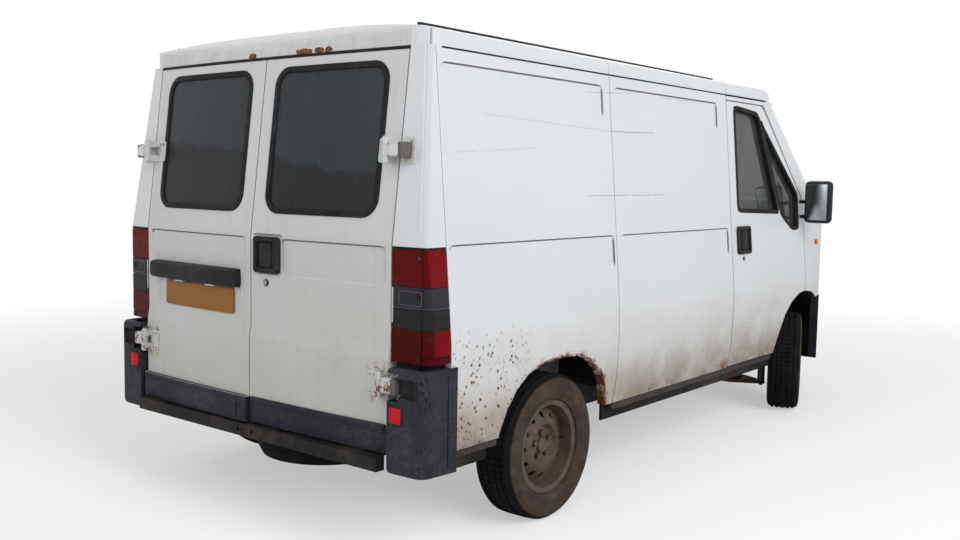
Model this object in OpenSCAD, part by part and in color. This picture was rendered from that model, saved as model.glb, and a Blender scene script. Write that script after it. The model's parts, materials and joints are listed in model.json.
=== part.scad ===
// Short, low-roof panel van, built panel by panel.
// +X is the front, +Y the left side, +Z up. The ground is z = 0 and the
// origin is the middle of the van's plan. All sizes are in millimetres.

/* [Overall size] */
// Length over the bumpers
body_len = 4655; // [4200:5:5600]
// Width over the body sides at the waist
body_w = 1998; // [1700:2:2400]
// Height of the roof crown above the ground
body_h = 2125; // [2060:5:2600]
// Distance between the axles
wheelbase = 2850; // [2600:5:3450]
// Distance from the front bumper to the front axle
front_overhang = 885; // [850:5:1000]

/* [Body section] */
// Height of the body's bottom edge
sill_z = 440; // [400:5:460]
// Height of the waist crease, where the body is widest
waist_z = 869; // [860:1:900]
// Height of the roof gutter
gutter_z = 2000; // [1980:5:2010]
// How far each side leans in from the waist to the gutter
side_lean = 100; // [60:5:120]
// How far the bottom edge tucks in under the waist
tuck = 28; // [10:2:40]
// Rise of the roof's crown above its shoulders
crown = 52; // [20:2:60]
// Thickness of a side wall with its ribs
wall = 45; // [30:1:60]
// Thickness of the roof with its bows
roof_t = 25; // [15:1:40]

/* [Rear] */
// Height where the rear face starts to lean forward
kink_z = 1250; // [1200:5:1300]
// How far the rear face leans forward up to the gutter
rear_lean = 91; // [40:1:120]
// How far the rear face curves forward at the doors' outer edges
rear_bow = 28; // [10:1:40]
// Depth of the rear overhang of the beam behind the doors
beam_reach = 38; // [30:1:60]
// Half width of the rear door opening
rear_half = 803; // [760:1:820]
// Thickness of a rear door
rear_door_t = 50; // [35:1:60]
// Height of the rear doors' bottom edge
rear_door_z = 548; // [520:1:580]

/* [Doors] */
// Distance from the front axle back to the front doors' rear edge
door_rear = 1092; // [1050:1:1150]
// Thickness of a front door
door_t = 55; // [40:1:60]
// Visible gap around a door
gap = 8; // [6:1:10]
// Length of the sliding door
slide_len = 1240; // [1000:5:1300]
// Thickness of the window glass
glass_t = 5; // [4:0.5:6]

/* [Wheels] */
// Radius of a tyre
tyre_r = 325; // [310:1:345]
// Width of a tyre
tyre_w = 205; // [185:5:215]
// Radius of the rim's bead seat
rim_r = 190; // [177:1:203]
// Distance between the front wheels' centre planes
track_f = 1720; // [1640:5:1800]
// Distance between the rear wheels' centre planes
track_r = 1760; // [1640:5:1790]
// Distance from a front wheel's centre plane in to its kingpin
kingpin_off = 145; // [135:1:160]
// Angle to the left at which the front wheels stand
steer_rest = 22; // [0:1:30]
// Radius of a wheel hub's spigot
spigot_r = 30; // [25:1:35]
// Running clearance of a shaft in its bore
run_fit = 0.05; // [0.02:0.01:0.08]
// Clearance where a fixed piece is seated
seat = 0.3; // [0.2:0.05:0.5]

/* [Cab] */
// Height of the cab floor's upper face
cab_floor_z = 500; // [490:5:510]
// Height of the load floor's upper face
load_floor_z = 560; // [550:5:570]
// Radius of the steering wheel's rim
steer_wheel_r = 200; // [180:5:215]

/* [Hidden] */
$fn = 48;

half = body_w / 2;
nose_end = body_len / 2;
tail_end = -body_len / 2;
rear_x = tail_end + beam_reach;
axle_f = nose_end - front_overhang;
axle_r = axle_f - wheelbase;
rake = atan(rear_lean / (gutter_z - kink_z));
lean = atan(side_lean / (gutter_z - waist_z));
b_post_x = axle_f - door_rear;
mid_x = b_post_x - slide_len - 10;
seam_x = rear_x + 156;
side_front_x = b_post_x - gap;
door_front_x = axle_f - 22;
wing_rear_x = door_front_x + gap;
door_top_z = gutter_z - 38;
beltline_z = 1385;
screen_top = [axle_f - 418, gutter_z - 2];
screen_foot = [axle_f + 289, 1394];
screen_t = 6;
cowl_x = axle_f + 360;
frame_in = door_t + 7;
frame_out = frame_in + 48;
rail_in = 480;
rail_out = 550;
housing_y = rail_out + 5;
kingpin_y = track_f / 2 - kingpin_off;
cab_floor_y = half - 170;
floor_rear_x = rear_x + 153 + seat;
big = 6000;

// ---------- shared shapes ----------

// A 2D shape drawn in Y and Z, run along X
module along_x(x0, x1) {
  translate([x0, 0, 0])
    rotate([90, 0, 90])
      linear_extrude(x1 - x0)
        children();
}

// A 2D shape drawn in X and Z, run along Y
module along_y(y0, y1) {
  translate([0, y1, 0])
    rotate([90, 0, 0])
      linear_extrude(y1 - y0)
        children();
}

// The same piece on both sides
module both_sides() {
  for (s = [0, 1])
    mirror([0, s, 0])
      children();
}

// A box from its lowest to its highest corner
module block(lo, hi) {
  translate(lo)
    cube(hi - lo);
}

function flip(points) = [for (i = [len(points) - 1:-1:0]) [-points[i][0], points[i][1]]];

// Corner points of a rounded rectangle
function rounded(x0, z0, x1, z1, r, n = 6) = [
  for (c = [[x1 - r, z1 - r, 0], [x0 + r, z1 - r, 90], [x0 + r, z0 + r, 180], [x1 - r, z0 + r, 270]])
    for (k = [0:n]) [c[0] + r * cos(c[2] + 90 * k / n), c[1] + r * sin(c[2] + 90 * k / n)]];

// Wheel arch outline: half a superellipse on vertical legs
function arch(cx, a, top, foot, power, n = 12) = concat([[cx + a, foot - 400]],
  [for (k = [0:n]) let (t = 180 * k / n)
    [cx + a * sign(cos(t)) * pow(abs(cos(t)), 2 / power), foot + (top - foot) * pow(sin(t), 2 / power)]],
  [[cx - a, foot - 400]]);
module rear_arch(grow = 0) {
  polygon(arch(axle_r + 25, 422 + grow, 726 + grow, 306, 2.6));
}
module front_arch(grow = 0) {
  polygon(arch(axle_f, 440 + grow, 806 + grow, 350, 2.1));
}

// Half width of the body at a height between the waist and the gutter
function side_y(z) = half - side_lean * (z - waist_z) / (gutter_z - waist_z);

// Cross section of the body, moved in by i on every wall
function roof_z(y) = body_h - crown * pow(y / (half - 150), 2);
function side_line(i) = [[half - tuck - i, sill_z], [half - 7 - i, sill_z + 150],
  [half - i, waist_z - 80], [half - i, waist_z], [side_y(gutter_z) - i, gutter_z]];
function shoulder(i) = let (y0 = half - 150 - i, z0 = gutter_z + 20, rise = body_h - crown - i - z0)
  [for (k = [0:4]) [y0 + (side_y(gutter_z) - half + 150) * cos(18 * k), z0 + rise * sin(18 * k)]];
function roof_line(i) = [for (k = [8:-1:-8]) let (y = (half - 150 - i) * k / 8)
  [y, roof_z((half - 150) * k / 8) - i]];
function section_pts(i) = concat(side_line(i), shoulder(i), roof_line(i),
  flip(shoulder(i)), flip(side_line(i)));
module section(i = 0) {
  polygon(section_pts(i));
}

// A ring of the body between two depths below its skin, with no roof
module band(i0, i1, x0, x1, z0, z1) {
  intersection() {
    along_x(x0, x1)
      difference() {
        section(i0);
        polygon(concat([[half - tuck - i1, sill_z - 10]], section_pts(i1), [[-half + tuck + i1, sill_z - 10]]));
      }
    both_sides()
      block([x0 - 1, 400, z0], [x1 + 1, half + 50, z1]);
  }
}

// Rear face: x of the face at the centre, and its plan curve
function bow(y) = rear_bow * pow(y / rear_half, 2);
function bow_slab(y0, y1, t0, t1, n = 6) = concat(
  [for (k = [0:n]) let (y = y0 + (y1 - y0) * k / n) [bow(y) + t0, y]],
  [for (k = [n:-1:0]) let (y = y0 + (y1 - y0) * k / n) [bow(y) + t1, y]]);
// A slab that follows the rear face between two depths. The raked part
// stands in by a small step all round, so that the two parts share no edge or side.
kink_step = 0.4;
module rear_slab(y0, y1, t0, t1, z0, z1) {
  if (z0 < kink_z)
    translate([rear_x, 0, z0])
      linear_extrude(min(z1, kink_z) - z0)
        polygon(bow_slab(y0, y1, t0, t1));
  if (z1 > kink_z)
    intersection() {
      translate([rear_x + kink_step, 0, kink_z])
        rotate([0, rake, 0])
          translate([0, 0, -10])
            linear_extrude(z1 - kink_z + 100)
              polygon(bow_slab(y0 + kink_step, y1 - kink_step, t0, t1));
      block([rear_x - 400, -half - 50, max(z0, kink_z - 1)], [rear_x + 900, half + 50, z1]);
    }
}

// Nose plan: a superellipse from the door line to the front
nose_start = axle_f - 93;
function nose_y(u) = pow(1 - pow(u, 2.6), 1 / 3);
function nose_plan(w, x_end, n = 26) = let (l = x_end - nose_start) concat([[nose_start - 200, w]],
  [for (k = [0:n]) let (u = sin(90 * k / n)) [nose_start + l * u, w * nose_y(min(u, 0.9999))]],
  [for (k = [n:-1:0]) let (u = sin(90 * k / n)) [nose_start + l * u, -w * nose_y(min(u, 0.9999))]],
  [[nose_start - 200, -w]]);
// Nose profile: cowl, bonnet and front
body_front_x = nose_end - 38;
// Cuts every corner of an open line, but keeps its ends
function soften(p, times) = times == 0 ? p : soften(concat([p[0]],
  [for (i = [0:len(p) - 2]) each [p[i] * 0.75 + p[i + 1] * 0.25, p[i] * 0.25 + p[i + 1] * 0.75]], [p[len(p) - 1]]), times - 1);
nose_profile = concat([[nose_start - 100, sill_z], [nose_start - 100, 1420], [cowl_x - 57, 1385]],
  soften([[cowl_x - 12, 1345], [axle_f + 590, 1225], [axle_f + 748, 1090], [body_front_x - 28, 965],
  [body_front_x - 5, 850], [body_front_x, 700]], 2), [[body_front_x, sill_z]]);
module nose(i = 0) {
  intersection() {
    along_x(nose_start - 100, nose_end)
      section(i);
    linear_extrude(big / 2)
      polygon(nose_plan(half - i, body_front_x - i));
    translate([0, 0, -i])
      along_y(-half, half)
        polygon(nose_profile);
  }
}
module nose_skin(i0, i1) {
  difference() {
    nose(i0);
    nose(i1);
  }
}

// A ring or disc about the Y axis, at a place along it
module on_y(x, y, z) {
  translate([x, y, z])
    rotate([-90, 0, 0])
      children();
}

// ---------- floor, frames and skins ----------

box_in = 690;
box_top = 860;
box_len = 850;
module load_floor() color("dimgray") {
  // load floor with the openings for the wheel boxes
  difference() {
    along_x(floor_rear_x, b_post_x - 45)
      polygon([for (p = [[-1, -40], [1, -40], [1, 0], [-1, 0]])
        [p[0] * (half - wall - 20), load_floor_z + p[1]]]);
    both_sides()
      block([axle_r - box_len / 2 + 25, box_in, 0], [axle_r + box_len / 2 + 25, half, box_top]);
  }
  // wheel boxes
  both_sides()
    difference() {
      block([axle_r - box_len / 2 + 22, box_in - 3, load_floor_z - 40],
        [axle_r + box_len / 2 + 28, half - wall - 20, box_top]);
      block([axle_r - box_len / 2 + 28, box_in + 3, 0],
        [axle_r + box_len / 2 + 22, half, box_top - 6]);
    }
  // step down to the cab floor
  block([b_post_x - 57, -cab_floor_y, cab_floor_z - 30], [b_post_x - 45, cab_floor_y, load_floor_z]);
  // cab floor
  block([b_post_x - 45, -cab_floor_y, cab_floor_z - 30], [axle_f - 460, cab_floor_y, cab_floor_z]);
  block([axle_f - 460, -housing_y - 6, cab_floor_z - 30], [axle_f - 112.5, housing_y + 6, cab_floor_z]);
}

post_line = [[screen_top[0] - 134, gutter_z - seat], [screen_top[0], gutter_z - seat], screen_foot,
  [screen_foot[0] - 165, beltline_z + 9], [door_front_x + 8, beltline_z + 9],
  [screen_top[0] - 154, gutter_z - 36]];
screen_dir = [screen_foot[0] - screen_top[0], screen_foot[1] - screen_top[1]];
screen_len = norm(screen_dir);
screen_ang = atan2(screen_dir[1], screen_dir[0]);
// The windscreen wraps round towards the doors: how far it stands back at a place in its width
screen_wrap = 62;
wrap_y = [for (y = [-1050, -990, -950, -910, -870, -830, -790, -740, -680, -600, -480, 0, 480, 600, 680, 740, 790, 830, 870, 910, 950, 990, 1050]) y];
function wrap(y) = -screen_wrap * pow(abs(y) / 930, 6);
// All that lies in front of the windscreen's surface, c behind it
module screen_front(c) {
  translate([screen_top[0], 0, screen_top[1]])
    rotate([0, -screen_ang, 0])
      along_x(-700, screen_len + 300)
        polygon(concat([for (y = wrap_y) [y, wrap(y) - c]], [[half + 60, 700], [-half - 60, 700]]));
}
module cab_frame() color("white") {
  // B posts
  band(wall + seat, frame_out, b_post_x - 85, b_post_x - 1, load_floor_z + 1, gutter_z - 40);
  band(frame_in, frame_out, b_post_x - 1, b_post_x + 55, cab_floor_z, gutter_z - 40);
  // sills and cant rails
  difference() {
    band(frame_in, 250, b_post_x - 1, axle_f - 462, sill_z, cab_floor_z);
    block([0, -cab_floor_y - seat, 0], [big, cab_floor_y + seat, big]);
  }
  band(frame_in, frame_out, b_post_x - 1, screen_top[0] - 130, gutter_z - 60, gutter_z - seat);
  // A posts
  difference() {
    intersection() {
      band(0, 70, b_post_x + 100, screen_foot[0] + 1, beltline_z, gutter_z);
      along_y(-half, half)
        polygon(post_line);
    }
    screen_front(0);
  }
  // shield behind the A posts joins them to the cant rails
  difference() {
    intersection() {
      band(frame_in, frame_out, b_post_x + 100, door_front_x + 20, beltline_z, gutter_z - 1);
      along_y(-half, half)
        polygon([[screen_top[0] - 180, gutter_z - 1], [screen_top[0] - 30, gutter_z - 1],
          [door_front_x + 60, beltline_z], [door_front_x - 30, beltline_z]]);
    }
    screen_front(3 + screen_t + seat);
  }
  // header over the windscreen
  difference() {
    block([screen_top[0] - 100, -side_y(gutter_z) + 60, gutter_z - 1],
      [screen_top[0] - 18 - seat, side_y(gutter_z) - 60, gutter_z + 12]);
    screen_front(3 + screen_t + seat);
  }
  // hinge pillars
  band(frame_in, frame_out, door_front_x - 35, door_front_x + 20, 841, beltline_z);
  // fixed leaves of the door hinges
  both_sides()
    for (z = hinge_heights)
      translate([hinge_x, -side_y(z) + hinge_in, z])
        rotate([-lean, 0, 0])
          difference() {
            union() {
              cylinder(r = 7, h = 36, center = true);
              block([-7, 0, -18], [7, frame_in - hinge_in + 4, 18]);
            }
            cylinder(r = hinge_pin_r + run_fit, h = 40, center = true);
          }
}
hinge_heights = [930, 1290];
hinge_x = door_front_x - 14;
hinge_in = 12;
hinge_pin_r = 3.5;

module side_skin() {
  difference() {
    band(0, wall, seam_x, side_front_x, sill_z, gutter_z - seat);
    along_y(-half - 10, half + 10)
      rear_arch();
  }
}
module side_right() color("white") {
  intersection() {
    side_skin();
    block([-big, -big, 0], [big, 0, big]);
  }
}
slide_x = [mid_x, side_front_x];
slide_z = [478, door_top_z + 6];
module side_left() color("white") {
  difference() {
    intersection() {
      side_skin();
      block([-big, 0, 0], [big, big, big]);
    }
    along_y(0, half + 10)
      polygon(rounded(slide_x[0], slide_z[0], slide_x[1] + 100, slide_z[1], 30));
    // recess for the filler flap
    block([flap_x[0] - 6, side_y(flap_z[1]) - 24, flap_z[0] - 6], [flap_x[1] + 6, half + 10, flap_z[1] + 6]);
  }
}
module sliding_door() color("white") {
  intersection() {
    band(0, wall, slide_x[0] + 5, slide_x[1] - 1, slide_z[0] + 5, slide_z[1] - 5);
    along_y(0, half + 10)
      polygon(rounded(slide_x[0] + 5, slide_z[0] + 5, slide_x[1] + 100, slide_z[1] - 5, 26));
  }
  // roller arms into the lower and upper tracks
  for (x = [slide_x[0] + 120, slide_x[1] - 160])
    intersection() {
      band(2, wall - 2, x, x + 60, slide_z[0] + seat, slide_z[1] - seat);
      block([x, 0, slide_z[0]], [x + 60, half, slide_z[1]]);
    }
}
flap_x = [axle_r + 470 - 120, axle_r + 470];
flap_z = [930, 1060];
module fuel_flap() color("white") {
  intersection() {
    band(0, 12, flap_x[0], flap_x[1], flap_z[0], flap_z[1]);
    block([flap_x[0], 0, flap_z[0]], [flap_x[1], half, flap_z[1]]);
  }
  // hinge lug on the front edge
  block([flap_x[1] - 9, side_y(flap_z[1]) - 24 + 3 * seat, flap_z[0] + 40],
    [flap_x[1] - 5, side_y(flap_z[0]) - 11, flap_z[1] - 40]);
}

pin_in = rear_half - 25;
pin_x = rear_x + bow(pin_in) - 42;
rear_pin_r = 9;
rear_hinge_z = [708, 1602];
pin_tilt = 1.9;
module rear_pin_place(z) {
  translate([pin_x + (z - rear_hinge_z[0]) * tan(pin_tilt), -pin_in, z])
    rotate([0, pin_tilt, 0])
      children();
}
lamp_z = [800, 1240];
lamp_t = 30;
module corner_solid(i) {
  difference() {
    intersection() {
      rear_slab(rear_half + 3, half, i, 400, sill_z, gutter_z - seat);
      along_x(rear_x - 100, seam_x - 3)
        section(i);
    }
    // rounded corner
    translate([rear_x + bow(half) + i, half - i, kink_z])
      rotate([lean, rake, 0])
        corner_round(60);
    translate([rear_x + bow(half) + i, half - i, 0])
      corner_round(52, kink_z);
  }
}
// What rounding takes off an outer corner at the origin
module corner_round(r, top = 1200) {
  difference() {
    translate([-100, -r, 0])
      cube([100 + r, 100 + r, top]);
    translate([r, -r, -1])
      cylinder(r = r, h = top + 2);
  }
}
module corner_zone(z0, z1) {
  block([rear_x - 100, rear_half, z0], [seam_x, half + 20, z1]);
}
module rear_frame() color("white") {
  both_sides() {
    intersection() {
      corner_solid(0);
      corner_zone(lamp_z[1] + seat, gutter_z);
    }
    intersection() {
      corner_solid(lamp_t + seat);
      corner_zone(sill_z, lamp_z[1] + seat);
    }
    // tie between corner and side wall
    band_tie();
  }
  // header and sill of the door opening
  block([rear_x + 177, -rear_half - 47, gutter_z - 60], [rear_x + 205, rear_half + 47, gutter_z - seat]);
  block([rear_x + rear_bow + rear_door_t + 12, -rear_half - 30, sill_z + 20], [rear_x + 153, rear_half + 30, load_floor_z - 4]);
  // fixed leaves of the rear door hinges
  both_sides()
    mirror([0, 1, 0])
      for (z = rear_hinge_z)
        rear_pin_place(z)
          difference() {
            union() {
              cylinder(r = 14, h = 40, center = true);
              block([-8, -66, -20], [4, 0, 20]);
              block([-8, -66, -20], [96, -54, 20]);
            }
            cylinder(r = rear_pin_r + run_fit, h = 42, center = true);
          }
}
// Flange that backs the seam between a rear corner and the side wall
module band_tie() {
  intersection() {
    band(wall + seat, wall + 12, seam_x - 30, seam_x + 40, load_floor_z + 2, gutter_z - 40);
    block([-big, 0, 0], [big, big, big]);
  }
}

roof_corner = 95;
roof_lip = 32;
// Quarter of an ellipse from where it stands upright to where it lies flat
function quarter(x0, z0, x1, z1, n = 9) = [for (k = [0:n]) [x1 + (x0 - x1) * cos(90 * k / n), z0 + (z1 - z0) * sin(90 * k / n)]];
function back(points) = [for (i = [len(points) - 1:-1:0]) points[i]];
roof_profile = concat(quarter(rear_x + 93, gutter_z, rear_x + 300, body_h + 1),
  back(quarter(screen_top[0] + 14, gutter_z + 16, screen_top[0] - 560, body_h + 1)), [[screen_top[0] + 4, gutter_z]]);
// Roof seen from above: rear edge bowed like the doors, rounded at its corners
module roof_plan(i) {
  y1 = side_y(gutter_z) - roof_corner;
  x0 = rear_x + 93 + i;
  front = screen_top[0] + 60 - i;
  side = y1 + roof_corner - i;
  right = concat([for (k = [0:5]) [x0 + bow(y1 * k / 5), y1 * k / 5]],
    [for (k = [1:6]) [x0 + bow(y1) + (roof_corner - i) * (1 - cos(15 * k)), y1 + (roof_corner - i) * sin(15 * k)]],
    [[front - 150, side], [front - 110, side - 10], [front - 80, side - 32], [front - 50, side - 70], [front, side - 200]]);
  linear_extrude(big / 2)
    polygon(concat(right, [for (p = back(right)) [p[0], -p[1]]]));
}
module roof() color("white") {
  difference() {
    intersection() {
      along_x(rear_x, screen_top[0] + 30)
        section(0);
      along_y(-half, half)
        polygon(roof_profile);
      roof_plan(0);
    }
    screen_front(-roof_lip);
    intersection() {
      along_x(rear_x + 118, screen_top[0] - 18)
        section(roof_t);
      translate([0, 0, -roof_t])
        along_y(-half, half)
          polygon([for (p = roof_profile) [p[0], p[1] + (p[1] > gutter_z ? 0 : -10)]]);
      roof_plan(roof_t);
      difference() {
        block([-big, -half, 0], [big, half, big]);
        screen_front(roof_t - roof_lip);
      }
    }
  }
}
bar_y = 770;
bar_w = 18;
bar_h = 15;
module roof_bars() color("black") {
  both_sides()
    block([rear_x + 190, bar_y, roof_z(bar_y) + seat], [b_post_x + 55, bar_y + bar_w, roof_z(bar_y) + bar_h]);
}

// ---------- front ----------

wing_t = 6;
bonnet_y = 700;
lamp_low = 765;
lamp_high = 955;
grille_y = 428;
splash_x = axle_f - 460 + seat;
upper_rail_z = lamp_high + seat;
module front_frame() color("gray") {
  // firewall
  block([axle_f - 112, -housing_y - 6, cab_floor_z - 30], [axle_f - 92, housing_y + 6, 840]);
  intersection() {
    block([axle_f - 112, -half, 840], [axle_f - 92, half, 1180]);
    along_x(axle_f - 200, axle_f)
      section(frame_out + 1);
  }
  both_sides() {
    // wheel housings: wall, top and rear splash panel
    block([splash_x, housing_y + 6 + seat, 420], [axle_f - 113, housing_y + 12, 480]);
    block([splash_x, housing_y + 6 + seat, 480], [axle_f - 93, housing_y + 12, 834]);
    block([axle_f - 92, housing_y, 420], [axle_f + 460, housing_y + 6, 834]);
    block([splash_x, housing_y, 833], [wing_rear_x + 8, half - frame_in - 2, 840]);
    intersection() {
      block([wing_rear_x + 7, housing_y, 833], [axle_f + 440, half, 840]);
      linear_extrude(big / 2)
        polygon(nose_plan(half - wing_t - seat, body_front_x - wing_t - seat));
    }
    intersection() {
      block([splash_x, housing_y + 6 + seat, 470], [splash_x + 6, half, 840]);
      along_x(axle_f - 500, axle_f)
        section(frame_in);
    }
  }
  // radiator support
  difference() {
    block([axle_f + 690, -grille_y, 430], [axle_f + 720, grille_y, upper_rail_z + 18]);
    block([axle_f + 680, -370, 490], [axle_f + 730, 370, 900]);
  }
  both_sides()
    block([axle_f + 430, housing_y, 833], [axle_f + 500, housing_y + 6, upper_rail_z + 1]);
  // upper rails from the housings to the support
  both_sides()
    block([axle_f + 430, grille_y - 13, upper_rail_z], [axle_f + 720, housing_y + 6, upper_rail_z + 18]);
}
module front_wings() color("white") {
  difference() {
    nose_skin(0, wing_t);
    along_y(-half - 10, half + 10)
      front_arch();
    // doors, cab, bonnet, lamps and bumper
    block([-big, -half - 10, 0], [wing_rear_x, half + 10, big]);
    block([wing_rear_x - 1, -half + 120, 0], [cowl_x - 52, half - 120, big]);
    block([cowl_x - 53, -bonnet_y - 3, 0], [big, bonnet_y + 3, big]);
    block([axle_f + 540, -half, 0], [big, half, lamp_high + 5]);
    block([axle_f, -half - 10, 0], [big, half + 10, 747]);
    along_y(-half - 10, half + 10)
      polygon([[wing_rear_x - 1, beltline_z + 6], [cowl_x - 66, beltline_z + 6], [cowl_x - 66, 1500], [wing_rear_x - 1, 1500]]);
  }
}
module scuttle() color("black") {
  // corners under the wrapped ends of the windscreen
  intersection() {
    block([screen_foot[0] - 140, -half, 1366], [cowl_x - 107, half, beltline_z - 3]);
    screen_front(-seat);
    along_x(0, nose_end)
      section(wing_t + seat);
  }
  along_y(-half + 122, half - 122)
    polygon([[cowl_x - 108, 1380], [cowl_x - 76, 1386], [cowl_x - 54, 1378], [cowl_x - 54, 1326], [cowl_x - 108, 1326]]);
  along_y(-bonnet_y + 2, bonnet_y - 2)
    polygon([[cowl_x - 54, 1376], [cowl_x - 8, 1336], [cowl_x - 8, 1316], [cowl_x - 54, 1326]]);
}
module windscreen() color("lightblue", 0.5) {
  intersection() {
    translate([screen_top[0], 0, screen_top[1]])
      rotate([0, -screen_ang, 0])
        along_x(-110, screen_len + 60)
          polygon(concat([for (y = wrap_y) [y, wrap(y) - 3]], [for (y = back(wrap_y)) [y, wrap(y) - 3 - screen_t]]));
    along_x(0, nose_end)
      section(70 + seat);
    block([0, -half, screen_foot[1] - 3], [big, half, gutter_z - 8]);
  }
}
module grille() color("black") {
  difference() {
    intersection() {
      nose_skin(3, 30);
      block([axle_f, -grille_y, lamp_low], [big, grille_y, lamp_high - 55]);
    }
    for (z = [lamp_low + 22:26:lamp_high - 84])
      block([axle_f, -grille_y + 30, z], [big, grille_y - 30, z + 13]);
  }
}
module headlamps() color("silver") {
  both_sides()
    intersection() {
      nose_skin(2, 115);
      block([axle_f + 545, grille_y + seat, lamp_low], [big, half, lamp_high]);
    }
}
bumper_low = 290;
bumper_high = 742;
module front_bumper() color("dimgray") {
  difference() {
    translate([0, 0, bumper_low])
      linear_extrude(bumper_high - bumper_low)
        polygon(nose_plan(half - 2, nose_end));
    translate([0, 0, bumper_low - 1])
      linear_extrude(bumper_high - bumper_low + 2)
        polygon(nose_plan(half - 52, nose_end - 50));
    block([-big, -half - 10, 0], [axle_f + 435, half + 10, big]);
    along_y(-half - 10, half + 10)
      front_arch(6);
    // lower air intake
    block([axle_f, -380, bumper_low + 90], [big, 380, bumper_low + 200]);
  }
  // bracket arms to the chassis rails
  both_sides()
    block([nose_end - 200, rail_in + 10, 455], [nose_end - 51, rail_out - 10, 525]);
}
corner_in = 8;
tow_bolt_r = 8.5;
module rear_bumper() color("dimgray") {
  // beam with the bolt holes for a tow ball
  difference() {
    block([tail_end, -rear_half + 10, 376], [tail_end + 45, rear_half - 10, 430]);
    for (y = [-45, 45])
      translate([tail_end - 1, y, 403])
        rotate([0, 90, 0])
          cylinder(r = tow_bolt_r, h = 50);
  }
  both_sides()
    block([tail_end + 44, rail_in + 5, 380], [floor_rear_x + 60, rail_out - 5, 430 - seat]);
  // corner mouldings
  both_sides()
    difference() {
      translate([0, 0, 372])
        linear_extrude(408)
          polygon(concat([[seam_x + 30, half + corner_in], [seam_x + 30, rear_half + 17], [rear_x - 10, rear_half + 17]],
            [for (k = [0:6]) [rear_x - 10 + 60 * (1 - cos(15 * k)), half + corner_in - 60 * (1 - sin(15 * k))]]));
      corner_cut();
      // recess for the lower hinge
      block([rear_x - 50, rear_half - 10, 655], [rear_x + 60, rear_half + 75, 762]);
    }
}
// Room inside a corner moulding for the body's corner and side wall
module corner_cut() {
  block([rear_x + 26, 0, sill_z], [seam_x - 1, half - lamp_t, 900]);
  block([seam_x - 2, 0, sill_z - 1], [seam_x + 31, half + seat, 900]);
}
module tail_lamps() color("darkred") {
  both_sides()
    difference() {
      intersection() {
        corner_solid(0);
        corner_zone(lamp_z[0], lamp_z[1]);
      }
      corner_solid(lamp_t);
    }
}

// ---------- cab interior ----------

module bulkhead() color("lightgray") {
  intersection() {
    along_x(b_post_x - 44, b_post_x - 24)
      section(frame_out + seat);
    block([0, -half, load_floor_z - 20], [big, half, big]);
  }
}
dash_y = 800;
column_axis = 30;
wheel_pos = [axle_f - 410, -480, 1130];
module column_place() {
  translate(wheel_pos)
    rotate([0, -column_axis, 0])
      children();
}
module dashboard() color([0.25, 0.25, 0.27]) {
  difference() {
    along_y(-dash_y, dash_y)
      polygon([[axle_f - 290, 860], [axle_f - 300, 1080], [axle_f - 230, 1180], [cowl_x - 108 - seat, 1352],
        [cowl_x - 108 - seat, 1330], [axle_f - 60, 1200], [axle_f - 113, 1180], [axle_f - 113, 860]]);
    column_place()
      translate([0, 0, -big / 2])
        cylinder(r = 24.9, h = big / 2);
  }
  // steering column
  column_place()
    translate([0, 0, -230])
      cylinder(r = 25, h = 205);
  column_place()
    translate([0, 0, -30])
      cylinder(r = 10, h = 60);
}
seat_z = 700;
module seat_set(y0, y1, heads) {
  // box under the seat
  block([b_post_x + 130, y0 + 40, cab_floor_z], [b_post_x + 530, y1 - 40, seat_z]);
  // cushion
  along_y(y0, y1)
    polygon([[b_post_x + 100, seat_z + seat], [b_post_x + 600, seat_z + seat], [b_post_x + 625, seat_z + 80],
      [b_post_x + 600, seat_z + 160], [b_post_x + 250, seat_z + 130], [b_post_x + 100, seat_z + 130]]);
  // backrest
  along_y(y0, y1)
    polygon([[b_post_x + 105, seat_z + 130 + seat], [b_post_x + 215, seat_z + 130 + seat], [b_post_x + 90, seat_z + 800],
      [b_post_x - 5, seat_z + 780]]);
  // head restraints on their posts
  for (y = heads) {
    block([b_post_x - 10, y - 120, seat_z + 840], [b_post_x + 70, y + 120, seat_z + 1000]);
    translate([b_post_x + 40, y, seat_z + 788])
      cylinder(r = 7, h = 60);
  }
}
module driver_seat() color("slategray") {
  seat_set(-740, -240, [-490]);
}
module passenger_seat() color("slategray") {
  seat_set(-160, 760, [70, 530]);
}

// ---------- chassis ----------

module chassis_rails() color([0.2, 0.2, 0.2]) {
  both_sides()
    along_y(rail_in, rail_out)
      polygon([[floor_rear_x, 430], [b_post_x - 195, 430], [b_post_x - 85, 385], [axle_f - 190, 385],
        [axle_f - 72, 430], [nose_end - 200 - seat, 430], [nose_end - 200 - seat, 550], [axle_f - 90.5, 550],
        [axle_f - 90.5, 469.7], [b_post_x - 70, 469.7], [b_post_x - 105, load_floor_z - 40 - seat],
        [floor_rear_x, load_floor_z - 40 - seat]]);
  // jacking pads
  both_sides()
    for (x = jack_x)
      block([x - 40, rail_in + 5, 424], [x + 40, rail_out - 5, 431]);
  // cross members
  for (x = [rear_x + 280, axle_r + 430, b_post_x - 480])
    block([x, -rail_in, load_floor_z - 85], [x + 60, rail_in, load_floor_z - 40 - seat]);
  // spring hangers
  both_sides()
    for (x = spring_ends)
      block([x - 30, rail_out, 424.3], [x + 30, spring_y + 40, load_floor_z - 40 - seat]);
}
jack_x = [rear_x + 290, b_post_x - 260];
spring_y = 610;
spring_ends = [axle_r - 620, axle_r + 620];
engine_x = axle_f + 38;
module engine() color("darkgray") {
  difference() {
    block([engine_x, -380, 400], [axle_f + 600, 330, 930]);
    for (y = [-380, 330])
      translate([axle_f + 30, y, 930])
        rotate([0, 90, 0])
          cylinder(r = 40, h = 600, $fn = 4);
  }
  // mounts on the chassis rails
  for (y = [[-rail_in + seat, -379], [329, rail_in - seat]])
    block([axle_f + 250, y[0], 450], [axle_f + 330, y[1], 520]);
}
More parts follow.
